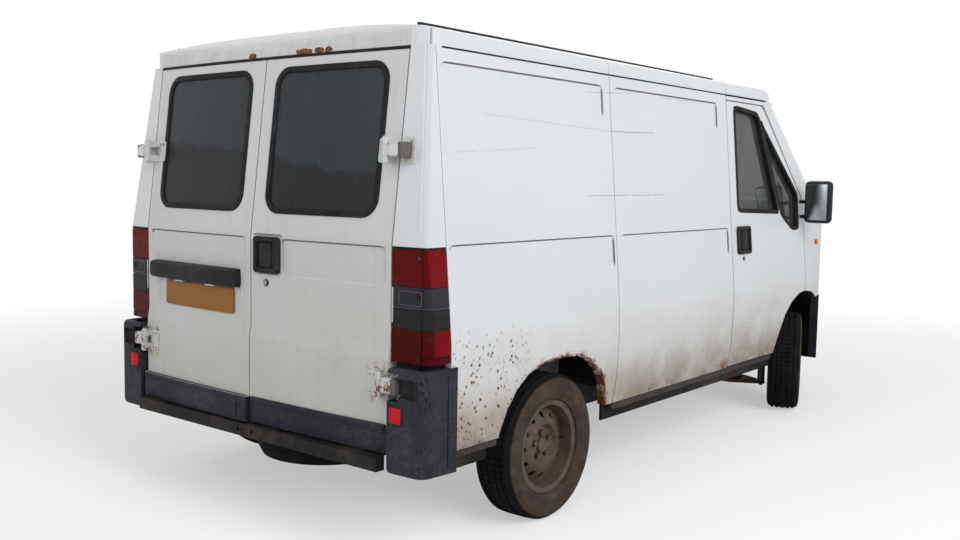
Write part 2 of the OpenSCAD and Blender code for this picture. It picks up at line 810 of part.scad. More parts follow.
module fuel_tank() color("black") {
  block([b_post_x - 1045, -rail_in + 50, 250], [b_post_x - 195, 280, 430 - seat]);
  // brackets under the rail
  for (x = [b_post_x - 900, b_post_x - 350])
    block([x, -rail_in - 30, 400], [x + 40, -rail_in + 51, 430 - seat]);
}
pipe_r = 22;
pipe_z = 435;
silencer_x = [b_post_x - 1050, b_post_x - 500];
module exhaust() color("sienna") {
  for (run = [[rear_x + 60, silencer_x[0] + 1, 400, pipe_r], [silencer_x[0], silencer_x[1], 360, 67],
      [silencer_x[1] - 1, engine_x - seat, 310, pipe_r]])
    translate([run[0], run[2], pipe_z])
      rotate([0, 90, 0])
        cylinder(r = run[3], h = run[1] - run[0]);
}
module tyre_profile() {
  polygon([[rim_r + seat, -65], [rim_r + 17.3, -65], [rim_r + 18, -70], [rim_r + 22, -tyre_w / 2 + 17],
    [rim_r + 45, -tyre_w / 2 + 4], [rim_r + 72, -tyre_w / 2], [tyre_r - 35, -tyre_w / 2 + 4],
    [tyre_r - 13, -tyre_w / 2 + 13], [tyre_r - 3, -tyre_w / 2 + 28], [tyre_r, -tyre_w / 2 + 48],
    [tyre_r, tyre_w / 2 - 48], [tyre_r - 3, tyre_w / 2 - 28], [tyre_r - 13, tyre_w / 2 - 13],
    [tyre_r - 35, tyre_w / 2 - 4], [rim_r + 72, tyre_w / 2], [rim_r + 45, tyre_w / 2 - 4],
    [rim_r + 22, tyre_w / 2 - 17], [rim_r + 18, 70], [rim_r + 17.3, 65], [rim_r + seat, 65]]);
}
module tyre() color([0.1, 0.1, 0.1]) {
  rotate_extrude($fn = 96)
    tyre_profile();
}
disc_z = 24;
module rim() color([0.45, 0.42, 0.4]) {
  difference() {
    rotate_extrude($fn = 96)
      union() {
        polygon([[rim_r - 6, -76], [rim_r + 17, -76], [rim_r + 17, -70], [rim_r, -66], [rim_r, 66],
          [rim_r + 17, 70], [rim_r + 17, 76], [rim_r - 6, 72]]);
        polygon([[rim_r - 5, 8], [150, disc_z - 2], [120, disc_z + 21], [95, disc_z + 26],
          [80, disc_z + 6], [spigot_r, disc_z + 6], [spigot_r, disc_z], [83, disc_z],
          [97, disc_z + 20], [118, disc_z + 15], [147, disc_z - 8], [rim_r - 5, 2]]);
      }
    for (a = [0:30:359])
      rotate([0, 0, a])
        translate([136, 0, -50])
          cylinder(r = 13, h = 150);
  }
}
module spare_wheel() color([0.12, 0.12, 0.12]) {
  translate([axle_r - 430, 0, 335]) {
    rotate_extrude($fn = 96)
      polygon([[60, -tyre_w / 2 + 30], [tyre_r - 20, -tyre_w / 2], [tyre_r, -tyre_w / 2 + 40],
        [tyre_r, tyre_w / 2 - 40], [tyre_r - 20, tyre_w / 2 - 13], [60, tyre_w / 2 - 40]]);
    // winch rod up to the floor
    translate([0, 0, -60])
      cylinder(r = 60, h = 100);
    cylinder(r = 10, h = load_floor_z - 40 - seat - 335);
  }
}
hub_face = track_r / 2 + disc_z;
module rear_axle() color([0.18, 0.18, 0.18]) {
  on_y(axle_r, -760, tyre_r)
    cylinder(r = 35, h = 1520);
  both_sides() {
    on_y(axle_r, 745, tyre_r)
      cylinder(r = 125, h = 100);
    on_y(axle_r, 840, tyre_r)
      cylinder(r = 70, h = hub_face - seat - 840);
    on_y(axle_r, 840, tyre_r)
      cylinder(r = spigot_r - run_fit, h = hub_face + 20 - 840);
    // leaf spring
    along_y(spring_y - 30, spring_y + 30)
      polygon([[spring_ends[0] - 20, 400], [axle_r - 300, 372], [axle_r - 60, tyre_r + 35], [axle_r + 60, tyre_r + 35],
        [axle_r + 300, 372], [spring_ends[1] + 20, 400], [spring_ends[1] + 20, 424],
        [axle_r + 300, 396], [axle_r + 60, tyre_r + 68], [axle_r - 60, tyre_r + 68], [axle_r - 300, 396], [spring_ends[0] - 20, 424]]);
  }
}
arm_z = 160;
module front_suspension() color([0.2, 0.2, 0.2]) {
  // cross member and its legs
  block([axle_f - 60, -rail_in, arm_z - 10], [axle_f + 60, rail_in, arm_z + 90]);
  both_sides() {
    block([axle_f - 40, rail_in, arm_z - 10], [axle_f + 40, rail_out, 430 - seat]);
    // lower arm with the ball joint's bore
    difference() {
      union() {
        translate([0, 0, arm_z - 9])
          linear_extrude(18)
            polygon([[axle_f - 120, rail_out - 10], [axle_f + 120, rail_out - 10],
              [axle_f + 26, kingpin_y], [axle_f - 26, kingpin_y]]);
        translate([axle_f, kingpin_y, arm_z - 9])
          cylinder(r = 26, h = 18);
        block([axle_f - 120, rail_in + 10, arm_z - 9], [axle_f + 120, rail_out - 9, arm_z + 9]);
      }
      translate([axle_f, kingpin_y, arm_z - 20])
        cylinder(r = 12 + run_fit, h = 40);
    }
    // strut up to the wheel housing
    translate([axle_f, kingpin_y, 480 + seat])
      cylinder(r = 26, h = 833 - seat - 480 - seat);
  }
}
// A front wheel's own frame: turned about its kingpin by the rest angle
module steered(s) {
  translate([axle_f, s * kingpin_y, 0])
    rotate([0, 0, steer_rest])
      translate([0, s * kingpin_off, 0])
        children();
}
module knuckle(s) color([0.3, 0.27, 0.25]) {
  steered(s) {
    translate([0, -s * kingpin_off, arm_z + 9 + seat])
      cylinder(r = 24, h = 480 - arm_z - 9 - seat);
    translate([0, -s * kingpin_off, arm_z - 20])
      cylinder(r = 12, h = 60);
    // arm to the hub, brake disc and spigot
    mirror([0, s < 0 ? 1 : 0, 0]) {
      block([-45, -kingpin_off, tyre_r - 45], [45, -60, tyre_r + 45]);
      on_y(0, -75, tyre_r)
        cylinder(r = 120, h = 20);
      on_y(0, -75, tyre_r)
        cylinder(r = 60, h = 75 + disc_z - seat);
      on_y(0, -75, tyre_r)
        cylinder(r = spigot_r - run_fit, h = 95 + disc_z);
    }
  }
}

// ---------- doors, lids and glass ----------

module bonnet() color("white") {
  difference() {
    nose_skin(0, 14);
    block([-big, -half - 10, 0], [cowl_x, half + 10, big]);
    block([-big, -half - 10, 0], [big, half + 10, lamp_high - 50]);
    both_sides()
      block([-big, bonnet_y - 3, 0], [big, half + 10, big]);
    both_sides()
      block([-big, grille_y - 5, 0], [big, half + 10, lamp_high + 5]);
  }
  // hinge arms at the rear edge
  both_sides()
    block([cowl_x - 8 + seat, 560, 1320], [cowl_x + 40, 580, 1332]);
}
module door_outline(grow = 0) {
  polygon([[b_post_x - grow, sill_z + 6 - grow], [door_front_x + grow, sill_z + 6 - grow],
    [door_front_x + grow, beltline_z], [screen_top[0] - 160 + grow, door_top_z - 22 + grow], [screen_top[0] - 200 + grow, door_top_z + grow],
    [b_post_x - grow, door_top_z + grow]]);
}
glass_low = 1338;
module drop_glass(grow = 0) {
  polygon([[b_post_x + 90 - grow, glass_low - grow], [b_post_x + 90 - grow, 1938 + grow],
    [screen_top[0] - 243 + grow, 1912 + grow], [screen_top[0] + 12 + grow, glass_low - 20 - grow]]);
}
module quarter_glass(grow = 0) {
  polygon([[screen_top[0] - 215 - 2 * grow, 1880 + 2.5 * grow], [door_front_x - 85 + grow, 1436],
    [door_front_x - 85 + grow, 1215 - grow],
    [screen_top[0] + 205, 1212 - grow], [screen_top[0] + 40 - grow, glass_low - 30 - grow]]);
}
module one_side(s) {
  intersection() {
    children();
    block([-big, s > 0 ? 0 : -big, 0], [big, s > 0 ? big : 0, big]);
  }
}
module front_door(s) color("white") {
  one_side(s) {
    difference() {
      intersection() {
        band(0, door_t, b_post_x, door_front_x, sill_z + 6, door_top_z);
        along_y(-half, half)
          door_outline();
      }
      along_y(-half - 10, half + 10) {
        front_arch(gap - 2);
        drop_glass();
        quarter_glass();
      }
      both_sides()
        for (z = hinge_heights)
          translate([hinge_x, -side_y(z) + hinge_in, z])
            rotate([-lean, 0, 0])
              block([-18, 2.5 - hinge_in, -42], [20, door_t, 42]);
    }
  }
  // hinge pins
  mirror([0, s > 0 ? 1 : 0, 0])
    for (z = hinge_heights)
      translate([hinge_x, -side_y(z) + hinge_in, z])
        rotate([-lean, 0, 0])
          cylinder(r = hinge_pin_r, h = 90, center = true);
}
module door_glass(s) color("slategray", 0.6) {
  one_side(s)
    intersection() {
      band(24, 24 + glass_t, b_post_x, door_front_x, 1180, 1960);
      along_y(-half, half) {
        drop_glass(-seat);
        quarter_glass(-seat);
      }
    }
}
mirror_x = [axle_f - 140, axle_f - 60];
mirror_y = [half + 5, half + 176];
mirror_z = [1252, 1520];
module mirror_housing(s) color("dimgray") {
  mirror([0, s < 0 ? 1 : 0, 0])
    difference() {
      union() {
        block([mirror_x[0], mirror_y[0], mirror_z[0]], [mirror_x[1], mirror_y[1], mirror_z[1]]);
        for (z = [1290, 1385])
          block([mirror_x[0] + 40, side_y(z) - 20, z - 12], [mirror_x[0] + 72, mirror_y[0] + 1, z + 12]);
      }
      along_x(mirror_x[0] - 50, mirror_x[1] + 50)
        section(-seat);
    }
}
window_y = [82, 710];
window_z = [1348, 1943];
module rear_window(grow = 0) {
  along_x(rear_x - 100, rear_x + 300)
    polygon(rounded(window_y[0] - grow, window_z[0] - grow, window_y[1] + grow, window_z[1] + grow, 75 + grow));
}
clad_z = 437;
module rear_door(s) color("white") {
  mirror([0, s < 0 ? 1 : 0, 0]) {
    difference() {
      union() {
        rear_slab(3, rear_half - 3, 0, rear_door_t, rear_door_z, gutter_z - 4);
        // plastic foot of the door
        rear_slab(3, rear_half - 3, s > 0 ? -28 : -4, rear_door_t, clad_z, rear_door_z + 1);
      }
      rear_window();
    }
    // moving leaves and pins of the hinges
    mirror([0, 1, 0])
      for (z = rear_hinge_z)
        rear_pin_place(z) {
          cylinder(r = rear_pin_r, h = 90, center = true);
          for (dz = [-34, 34])
            translate([0, 0, dz]) {
              cylinder(r = 14, h = 24, center = true);
              block([0, 0, -12], [75, 60, 12]);
            }
        }
  }
}
module rear_glass(s) color("darkslategray") {
  mirror([0, s < 0 ? 1 : 0, 0])
    intersection() {
      rear_slab(3, rear_half - 3, 12, 12 + glass_t, window_z[0], window_z[1]);
      rear_window(-seat);
    }
}
module steering_wheel() color("black") {
  column_place() {
    rotate_extrude($fn = 72)
      translate([steer_wheel_r - 14, 0])
        circle(r = 14, $fn = 24);
    difference() {
      union() {
        translate([0, 0, -24])
          cylinder(r = 34, h = 50);
        for (a = [0, 120, 240])
          rotate([0, 0, a])
            block([20, -14, -6], [steer_wheel_r - 16, 14, 6]);
      }
      translate([0, 0, -30])
        cylinder(r = 10 + run_fit, h = 61);
    }
  }
}
module wheel_place(s, rear) {
  if (rear)
    on_wheel(s, axle_r, s * track_r / 2)
      children();
  else
    steered(s)
      on_wheel(s, 0, 0)
        children();
}
module on_wheel(s, x, y) {
  translate([x, y, tyre_r])
    rotate([s > 0 ? -90 : 90, 0, 0])
      children();
}

load_floor();
cab_frame();
side_right();
side_left();
sliding_door();
rear_frame();
roof();
roof_bars();
front_frame();
front_wings();
scuttle();
windscreen();
grille();
headlamps();
front_bumper();
rear_bumper();
tail_lamps();
bulkhead();
dashboard();
driver_seat();
passenger_seat();
chassis_rails();
engine();
fuel_tank();
exhaust();
spare_wheel();
rear_axle();
front_suspension();
bonnet();
front_door(-1);  // front_door_right
front_door(1);  // front_door_left
door_glass(-1);  // door_glass_right
door_glass(1);  // door_glass_left
mirror_housing(-1);  // mirror_right
mirror_housing(1);  // mirror_left
rear_door(-1);  // rear_door_right
rear_door(1);  // rear_door_left
rear_glass(-1);  // rear_glass_right
rear_glass(1);  // rear_glass_left
fuel_flap();
steering_wheel();
knuckle(-1);  // knuckle_right
knuckle(1);  // knuckle_left
wheel_place(-1, false) tyre();  // tyre_front_right
wheel_place(1, false) tyre();  // tyre_front_left
wheel_place(-1, true) tyre();  // tyre_rear_right
wheel_place(1, true) tyre();  // tyre_rear_left
wheel_place(-1, false) rim();  // rim_front_right
wheel_place(1, false) rim();  // rim_front_left
wheel_place(-1, true) rim();  // rim_rear_right
wheel_place(1, true) rim();  // rim_rear_left
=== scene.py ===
"""Looks of a short, low-roof panel van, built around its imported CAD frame.

+X is the front, +Y the left side and +Z up, in metres, with the ground at z = 0.
"""

import json
import logging
import math
from dataclasses import dataclass
from enum import IntEnum
from typing import Callable, Iterable, Sequence

import bmesh
import bpy
from mathutils import Matrix, Vector
from mathutils.bvhtree import BVHTree

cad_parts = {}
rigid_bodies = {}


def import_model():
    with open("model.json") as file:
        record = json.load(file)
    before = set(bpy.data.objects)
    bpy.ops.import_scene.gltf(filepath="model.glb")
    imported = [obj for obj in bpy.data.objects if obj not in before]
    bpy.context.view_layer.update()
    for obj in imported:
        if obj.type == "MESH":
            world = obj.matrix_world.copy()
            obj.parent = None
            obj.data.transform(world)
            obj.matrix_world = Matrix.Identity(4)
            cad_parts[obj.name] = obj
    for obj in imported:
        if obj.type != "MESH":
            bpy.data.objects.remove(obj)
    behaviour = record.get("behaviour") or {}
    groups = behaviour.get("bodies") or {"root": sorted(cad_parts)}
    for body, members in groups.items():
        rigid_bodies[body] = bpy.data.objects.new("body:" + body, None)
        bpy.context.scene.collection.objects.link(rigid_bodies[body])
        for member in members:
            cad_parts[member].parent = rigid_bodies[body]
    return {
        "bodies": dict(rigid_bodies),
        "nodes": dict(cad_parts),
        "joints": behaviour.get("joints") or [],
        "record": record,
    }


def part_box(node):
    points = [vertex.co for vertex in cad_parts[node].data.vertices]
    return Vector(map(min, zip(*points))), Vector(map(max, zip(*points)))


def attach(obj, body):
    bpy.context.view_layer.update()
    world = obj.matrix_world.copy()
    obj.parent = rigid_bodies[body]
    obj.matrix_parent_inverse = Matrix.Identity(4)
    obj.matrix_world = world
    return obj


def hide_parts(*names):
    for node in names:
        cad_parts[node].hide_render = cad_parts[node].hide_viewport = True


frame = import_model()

log = logging.getLogger("van")
Colour = tuple[float, float, float]
Point = tuple[float, float, float]


class Side(IntEnum):
    """A side of the van, as the sign of its Y."""

    RIGHT = -1
    LEFT = 1


def once(items: Iterable) -> list:
    """The items without repeats in their first order, so that every run builds alike."""
    return list(dict.fromkeys(items))


# ---------------------------------------------------------------- shader tools


class Sock:
    """A shader value that takes part in plain arithmetic."""

    def __init__(self, graph: "Graph", socket: bpy.types.NodeSocket) -> None:
        """Wraps an output socket of a graph's node."""
        self.graph = graph
        self.socket = socket

    def _math(self, operation: str, *values: "Sock | float") -> "Sock":
        """Adds one Math node."""
        return self.graph.node("ShaderNodeMath", {"operation": operation}, dict(enumerate(values)))

    def __add__(self, other: "Sock | float") -> "Sock":
        """Sum."""
        return self._math("ADD", self, other)

    def __radd__(self, other: float) -> "Sock":
        """Sum with a number on the left."""
        return self._math("ADD", other, self)

    def __sub__(self, other: "Sock | float") -> "Sock":
        """Difference."""
        return self._math("SUBTRACT", self, other)

    def __rsub__(self, other: float) -> "Sock":
        """Difference with a number on the left."""
        return self._math("SUBTRACT", other, self)

    def __mul__(self, other: "Sock | float") -> "Sock":
        """Product."""
        return self._math("MULTIPLY", self, other)

    def __rmul__(self, other: float) -> "Sock":
        """Product with a number on the left."""
        return self._math("MULTIPLY", other, self)

    def __truediv__(self, other: "Sock | float") -> "Sock":
        """Quotient."""
        return self._math("DIVIDE", self, other)

    def __pow__(self, other: "Sock | float") -> "Sock":
        """Power."""
        return self._math("POWER", self, other)

    def size(self) -> "Sock":
        """Absolute value."""
        return self._math("ABSOLUTE", self)

    def least(self, other: "Sock | float") -> "Sock":
        """The smaller of two values."""
        return self._math("MINIMUM", self, other)

    def most(self, other: "Sock | float") -> "Sock":
        """The larger of two values."""
        return self._math("MAXIMUM", self, other)

    def step(self, start: float, end: float) -> "Sock":
        """A smooth step from 0 at start to 1 at end, which may be the lower of the two."""
        settings = {"interpolation_type": "SMOOTHSTEP"}
        if start < end:
            return self.graph.node("ShaderNodeMapRange", settings,
                {0: self, 1: start, 2: end, 3: 0.0, 4: 1.0})
        return self.graph.node("ShaderNodeMapRange", settings, {0: self, 1: end, 2: start, 3: 1.0, 4: 0.0})

    def between(self, low: float, high: float, soft: float) -> "Sock":
        """1 inside a range and 0 outside it, with soft edges."""
        return self.step(low - soft, low + soft) * self.step(high + soft, high - soft)


class Graph:
    """A material's node graph, from its coordinates to its one shader."""

    def __init__(self, name: str) -> None:
        """Starts an empty material of that name."""
        self.material = bpy.data.materials.new(name)
        self.material.use_nodes = True
        self.tree = self.material.node_tree
        self.tree.nodes.clear()
        coords = self.tree.nodes.new("ShaderNodeTexCoord")
        self.coords = Sock(self, coords.outputs["Object"])
        split = self.tree.nodes.new("ShaderNodeSeparateXYZ")
        self.tree.links.new(coords.outputs["Object"], split.inputs[0])
        self.x, self.y, self.z = (Sock(self, output) for output in split.outputs)

    def node(self, kind: str, settings: dict | None = None, values: dict | None = None,
            output: int | str = 0) -> Sock:
        """Adds one node.

        Args:
            kind: the node's type.
            settings: its own settings, set before its sockets.
            values: links or constants for its sockets, by place or name.
            output: the output to return.

        Returns:
            The chosen output.
        """
        made = self.tree.nodes.new(kind)
        for key, value in (settings or {}).items():
            if key == "stops":
                ramp = made.color_ramp
                while len(ramp.elements) < len(value):
                    ramp.elements.new(0.5)
                for element, (place, colour) in zip(ramp.elements, value):
                    element.position = place
                    element.color = (*colour, 1.0)
            else:
                setattr(made, key, value)
        for key, value in (values or {}).items():
            if isinstance(value, Sock):
                self.tree.links.new(value.socket, made.inputs[key])
            elif isinstance(value, tuple) and len(value) == 3 and made.inputs[key].type == "RGBA":
                made.inputs[key].default_value = (*value, 1.0)
            else:
                made.inputs[key].default_value = value
        return Sock(self, made.outputs[output] if made.outputs else None)

    def stretched(self, scale: Point, shift: Point = (0, 0, 0)) -> Sock:
        """Object coordinates scaled and moved."""
        return self.node("ShaderNodeMapping", None,
            {"Vector": self.coords, "Scale": scale, "Location": shift})

    def noise(self, scale: float, detail: float = 3.0, rough: float = 0.5,
            coords: Sock | None = None) -> Sock:
        """Fractal noise about 0.5."""
        return self.node(
            "ShaderNodeTexNoise", None,
            {"Vector": coords or self.coords, "Scale": scale, "Detail": detail, "Roughness": rough},
        )

    def cells(self, scale: float, coords: Sock | None = None, feature: str = "F1") -> Sock:
        """Distance to the nearest of scattered points."""
        return self.node("ShaderNodeTexVoronoi", {"feature": feature},
            {"Vector": coords or self.coords, "Scale": scale})

    def blend(self, mask: "Sock | float", first: "Sock | Colour", second: "Sock | Colour") -> Sock:
        """Mixes two colours by a mask."""
        made = self.tree.nodes.new("ShaderNodeMix")
        made.data_type = "RGBA"
        for place, value in ((0, mask), (6, first), (7, second)):
            if isinstance(value, Sock):
                self.tree.links.new(value.socket, made.inputs[place])
            elif place == 0:
                made.inputs[place].default_value = value
            else:
                made.inputs[place].default_value = (*value, 1.0)
        return Sock(self, made.outputs[2])

    def bump(self, height: Sock, depth: float, strength: float = 1.0) -> Sock:
        """A normal from a height."""
        return self.node("ShaderNodeBump", None, {"Height": height, "Distance": depth, "Strength": strength})

    def finish(self, values: dict) -> bpy.types.Material:
        """Ends the graph in one Principled shader with those sockets.

        Args:
            values: socket names with constants or links.

        Returns:
            The finished material.
        """
        shader = self.node("ShaderNodeBsdfPrincipled", None, values)
        self.node("ShaderNodeOutputMaterial", None, {0: shader})
        return self.material


# ------------------------------------------------------------------- finishes


@dataclass(frozen=True)
class BodyPaint:
    """Worn white paint: dust low down, run-off streaks, rust at the lips, scratches."""

    name: str = "body_paint"
    white: Colour = (0.70, 0.71, 0.725)
    dust: Colour = (0.40, 0.345, 0.27)
    mud: Colour = (0.235, 0.185, 0.140)
    grime_and_edge_shade: Colour = (0.20, 0.17, 0.13)
    rust: Colour = (0.25, 0.095, 0.03)
    rust_dark: Colour = (0.06, 0.025, 0.015)
    arch_x: float = -1.3825
    arch_half: float = 0.422
    arch_foot: float = 0.306
    arch_rise: float = 0.420
    scratches: tuple[tuple[float, float, float, float, float], ...] = ((-1.863, 1.757, -0.910, 1.731, 0.30),
        (-0.910, 1.731, -0.504, 1.741, 0.80), (-1.134, 1.429, -0.426, 1.433, 0.65),
        (-1.127, 1.900, -0.681, 1.925, 0.35), (-2.110, 1.596, -1.505, 1.635, 0.22),
        (-0.343, 1.926, 0.121, 1.935, 0.45),)

    def make(self) -> bpy.types.Material:
        """Returns the paint's material."""
        g = Graph(self.name)
        broad = g.noise(0.9, 3)
        mottle = g.noise(5.0, 5, 0.6)
        fine = g.noise(60.0, 4, 0.65)
        streak = g.noise(1.0, 5, 0.7, g.stretched((34.0, 34.0, 1.6)))
        rear = g.x.step(-2.15, -2.17) * g.y.size().step(0.812, 0.802)
        side = 1.0 - rear
        low = g.z.step(1.02, 0.42)
        # dust: a film low on the sides, and all over the rear doors
        film = (low * (0.30 + 0.62 * mottle.step(0.30, 0.75)) + low * low * 0.55) * side
        back = (0.62 + 0.70 * g.z.step(1.50, 0.60) + 0.34 * streak.step(0.50, 0.76)) * (
            0.62 + 0.66 * mottle) * rear
        run = streak.step(0.56, 0.80) * g.z.step(0.95, 0.45) * 0.5 * side
        dusty = (film + back * 0.62 + run).least(0.92)
        colour = g.blend(broad.step(0.25, 0.75) * 0.6, self.white, (0.64, 0.645, 0.64))
        colour = g.blend(dusty * 0.62, colour, self.dust)
        mud = g.z.step(0.70, 0.43) * (0.25 + 0.75 * mottle.step(0.30, 0.70)) * side
        colour = g.blend(mud * 0.80, colour, self.mud)
        # grime in the joints: behind the wheels and along the sill
        splash = g.z.step(0.62, 0.43) * g.x.between(-2.12, -1.70, 0.14) + g.z.step(0.60,
            0.43) * g.x.between(0.10, 1.05, 0.2)
        colour = g.blend((splash * 0.75 * g.noise(9.0, 5, 0.7).step(0.36, 0.62)).least(0.85), colour,
            self.grime_and_edge_shade)
        # rust on the arch lip, in specks behind it, and along the bottom edge
        span = ((g.x - self.arch_x).size() / self.arch_half) ** 2.6
        rise = ((g.z - self.arch_foot).most(0.0) / self.arch_rise) ** 2.6
        ring = (span + rise) ** (1 / 2.6)
        on_side = g.y.size().step(0.90, 0.93)
        ahead = g.x.step(-1.66, -1.50)
        lip = ring.step(1.075, 1.0) * g.noise(16.0, 6, 0.75).step(0.47, 0.60) * on_side * ahead
        lip = lip + ring.step(1.022, 1.004) * g.noise(24.0, 5, 0.7).step(0.42,
            0.56) * on_side * (0.35 + 0.65 * ahead)
        spots = g.cells(34.0).step(0.27, 0.17) * g.noise(5.0, 4, 0.7).step(0.34, 0.46)
        behind_arch = g.x.between(-2.12, -1.66, 0.10) * g.z.between(0.44, 0.86, 0.10) * on_side
        small = g.cells(88.0).step(0.26, 0.16) * g.noise(6.0, 4, 0.7).step(0.46, 0.58)
        near_door = g.x.between(0.36, 0.75, 0.12) * g.z.between(0.44, 0.70, 0.07) * on_side
        edge = g.z.step(0.50, 0.44) * g.noise(11.0, 6, 0.75).step(0.50, 0.62) * side
        frayed = g.noise(46.0, 5, 0.75) * 2.6
        roof_lip = g.x * 0.0
        for at, reach in ((-0.225, 0.060), (-0.318, 0.034), (-0.372, 0.026), (0.10, 0.030)):
            blot = ((g.y - at) / reach).size() ** 2.0 + ((g.z - 2.009) / 0.015).size() ** 2.0 + frayed
            roof_lip = roof_lip.most(blot.step(2.15, 1.85) * g.x.step(-2.10, -2.13))
        eave = g.x.step(-2.12, -2.16) * g.z.between(1.998, 2.055, 0.03) * streak.step(0.40,
            0.72) * mottle.step(0.34, 0.62)
        colour = g.blend(eave * 0.42, colour, self.dust)
        hinge = g.z.between(0.64, 0.78, 0.03) * g.y.size().between(0.70, 0.86, 0.02) * g.x.step(-2.20, -2.25)
        hinge = hinge * g.noise(40.0, 5, 0.75).step(0.50, 0.60)
        rusty = (
            lip + spots * behind_arch + small * (near_door + behind_arch) + edge + roof_lip + hinge).least(
            1.0)
        halo = (
            lip * 0.6 + g.cells(34.0).step(0.45, 0.20) * g.noise(5.0, 4, 0.7).step(0.40, 0.52)
            * behind_arch).least(1.0)
        colour = g.blend(halo * 0.35, colour, (0.50, 0.33, 0.20))
        colour = g.blend(rusty, colour, g.blend(fine.step(0.35, 0.65), self.rust, self.rust_dark))
        # scratches along the right side, as (start x, start z, end x, end z, strength)
        cut = g.x * 0.0
        wave = (g.noise(6.0, 3) - 0.5) * 0.010
        for x0, z0, x1, z1, strength in self.scratches:
            level = g.z - z0 - (g.x - x0) * ((z1 - z0) / (x1 - x0)) + wave
            line = level.size().step(0.0026, 0.0012) * g.x.between(x0, x1, 0.03) * g.y.step(-0.80, -0.85)
            cut = cut.most(line * strength)
        cut = cut * g.noise(26.0, 3).step(0.32, 0.46)
        colour = g.blend(cut, colour, (0.16, 0.15, 0.14))
        dull = (0.34 + dusty * 0.35 + rusty * 0.35 + (mottle - 0.5) * 0.16).least(0.95)
        dents = g.noise(2.3, 2) * g.z.between(0.55, 0.95, 0.15) * 0.8 + fine * 0.004 + g.noise(260.0,
            2) * 0.004
        height = dents * 0.5 + rusty * 0.09 * g.noise(90.0, 4, 0.7) + cut * -0.02
        return g.finish(
            {"Base Color": colour, "Roughness": dull, "Coat Weight": 0.12 - 0.12 * rusty.most(dusty),
            "Coat Roughness": 0.25, "Specular IOR Level": 0.35, "Normal": g.bump(height, 0.012)})


@dataclass(frozen=True)
class Moulded:
    """Moulded plastic or rubber with a fine grain, faded and dusty patches."""

    name: str
    colour: Colour
    faded: Colour
    rough: float = 0.55
    grain: float = 900.0
    depth: float = 0.0004
    dust: float = 0.25
    dusty: Colour = (0.24, 0.21, 0.17)
    chips: float = 0.0
    shine: float = 0.11

    def make(self) -> bpy.types.Material:
        """Returns the moulded material."""
        g = Graph(self.name)
        patch = g.noise(4.0, 5, 0.65)
        speck = g.noise(55.0, 4, 0.7)
        colour = g.blend(patch.step(0.32, 0.72) * 0.8, self.colour, self.faded)
        mask = speck.step(0.45, 0.75) * patch.step(0.35, 0.65) * self.dust
        colour = g.blend(mask, colour, self.dusty)
        chip = g.noise(1.0, 2.0, 0.5, g.stretched((150.0, 150.0, 52.0))).step(0.605, 0.625) * g.noise(6.0,
            3).step(0.42, 0.52) * self.chips
        colour = g.blend(chip.least(1.0), colour, (0.006, 0.006, 0.007))
        rough = self.rough + (patch - 0.5) * 0.22 + mask * 0.2
        height = g.noise(self.grain, 2) + chip * -1.5
        return g.finish(
            {"Base Color": colour, "Roughness": rough, "Specular IOR Level": self.shine,
            "Normal": g.bump(height, self.depth)})


@dataclass(frozen=True)
class RustySteel:
    """Bare or black-painted steel that rusts in patches."""

    name: str
    paint: Colour = (0.035, 0.033, 0.032)
    rust: Colour = (0.17, 0.07, 0.035)
    amount: float = 0.5
    mud: float = 0.4

    def make(self) -> bpy.types.Material:
        """Returns the steel's material."""
        g = Graph(self.name)
        patch = g.noise(9.0, 6, 0.7)
        fine = g.noise(70.0, 5, 0.7)
        rusty = (patch * 0.7 + fine * 0.3).step(0.62 - self.amount * 0.3, 0.72 - self.amount * 0.3)
        rust = g.blend(fine.step(0.3, 0.7), self.rust, (0.07, 0.032, 0.02))
        colour = g.blend(rusty, self.paint, rust)
        mud = g.noise(3.0, 5, 0.7).step(0.45, 0.7) * self.mud
        colour = g.blend(mud, colour, (0.16, 0.12, 0.085))
        rough = 0.5 + rusty * 0.35 + mud * 0.1
        return g.finish({
            "Base Color": colour, "Roughness": rough, "Specular IOR Level": 0.12,
            "Normal": g.bump(patch * 0.4 + fine, 0.0016),
        })


@dataclass(frozen=True)
class WheelSteel:
    """Grey painted wheel steel under brown brake dust and mud."""

    name: str = "wheel_steel"

    def make(self) -> bpy.types.Material:
        """Returns the wheel steel's material."""
        g = Graph(self.name)
        patch = g.noise(12.0, 6, 0.7)
        fine = g.noise(110.0, 4, 0.7)
        colour = g.blend(patch.step(0.35, 0.68), (0.125, 0.088, 0.066), (0.062, 0.038, 0.026))
        colour = g.blend(fine.step(0.55, 0.75) * 0.5, colour, (0.03, 0.02, 0.015))
        colour = g.blend(g.noise(5.0, 4).step(0.62, 0.75) * 0.5, colour, (0.22, 0.175, 0.145))
        return g.finish({
            "Base Color": colour, "Roughness": 0.62 + patch * 0.25, "Metallic": 0.15,
            "Normal": g.bump(patch * 0.5 + fine * 0.6, 0.0014),
        })


@dataclass(frozen=True)
class TyreRubber:
    """Black rubber with brown dirt in its tread and on its walls."""

    name: str = "tyre_rubber"
    black: Colour = (0.006, 0.006, 0.007)
    dirt: Colour = (0.018, 0.015, 0.014)

    def make(self) -> bpy.types.Material:
        """Returns the tyre's material."""
        g = Graph(self.name)
        patch = g.noise(11.0, 6, 0.72)
        fine = g.noise(160.0, 4, 0.7)
        colour = g.blend(patch.step(0.32, 0.68), self.black, self.dirt)
        colour = g.blend(fine.step(0.58, 0.8) * 0.4, colour, (0.075, 0.058, 0.045))
        return g.finish(
            {"Base Color": colour, "Roughness": 0.74 + patch * 0.2, "Specular IOR Level": 0.10,
            "Normal": g.bump(fine + patch * 0.5, 0.0012)})


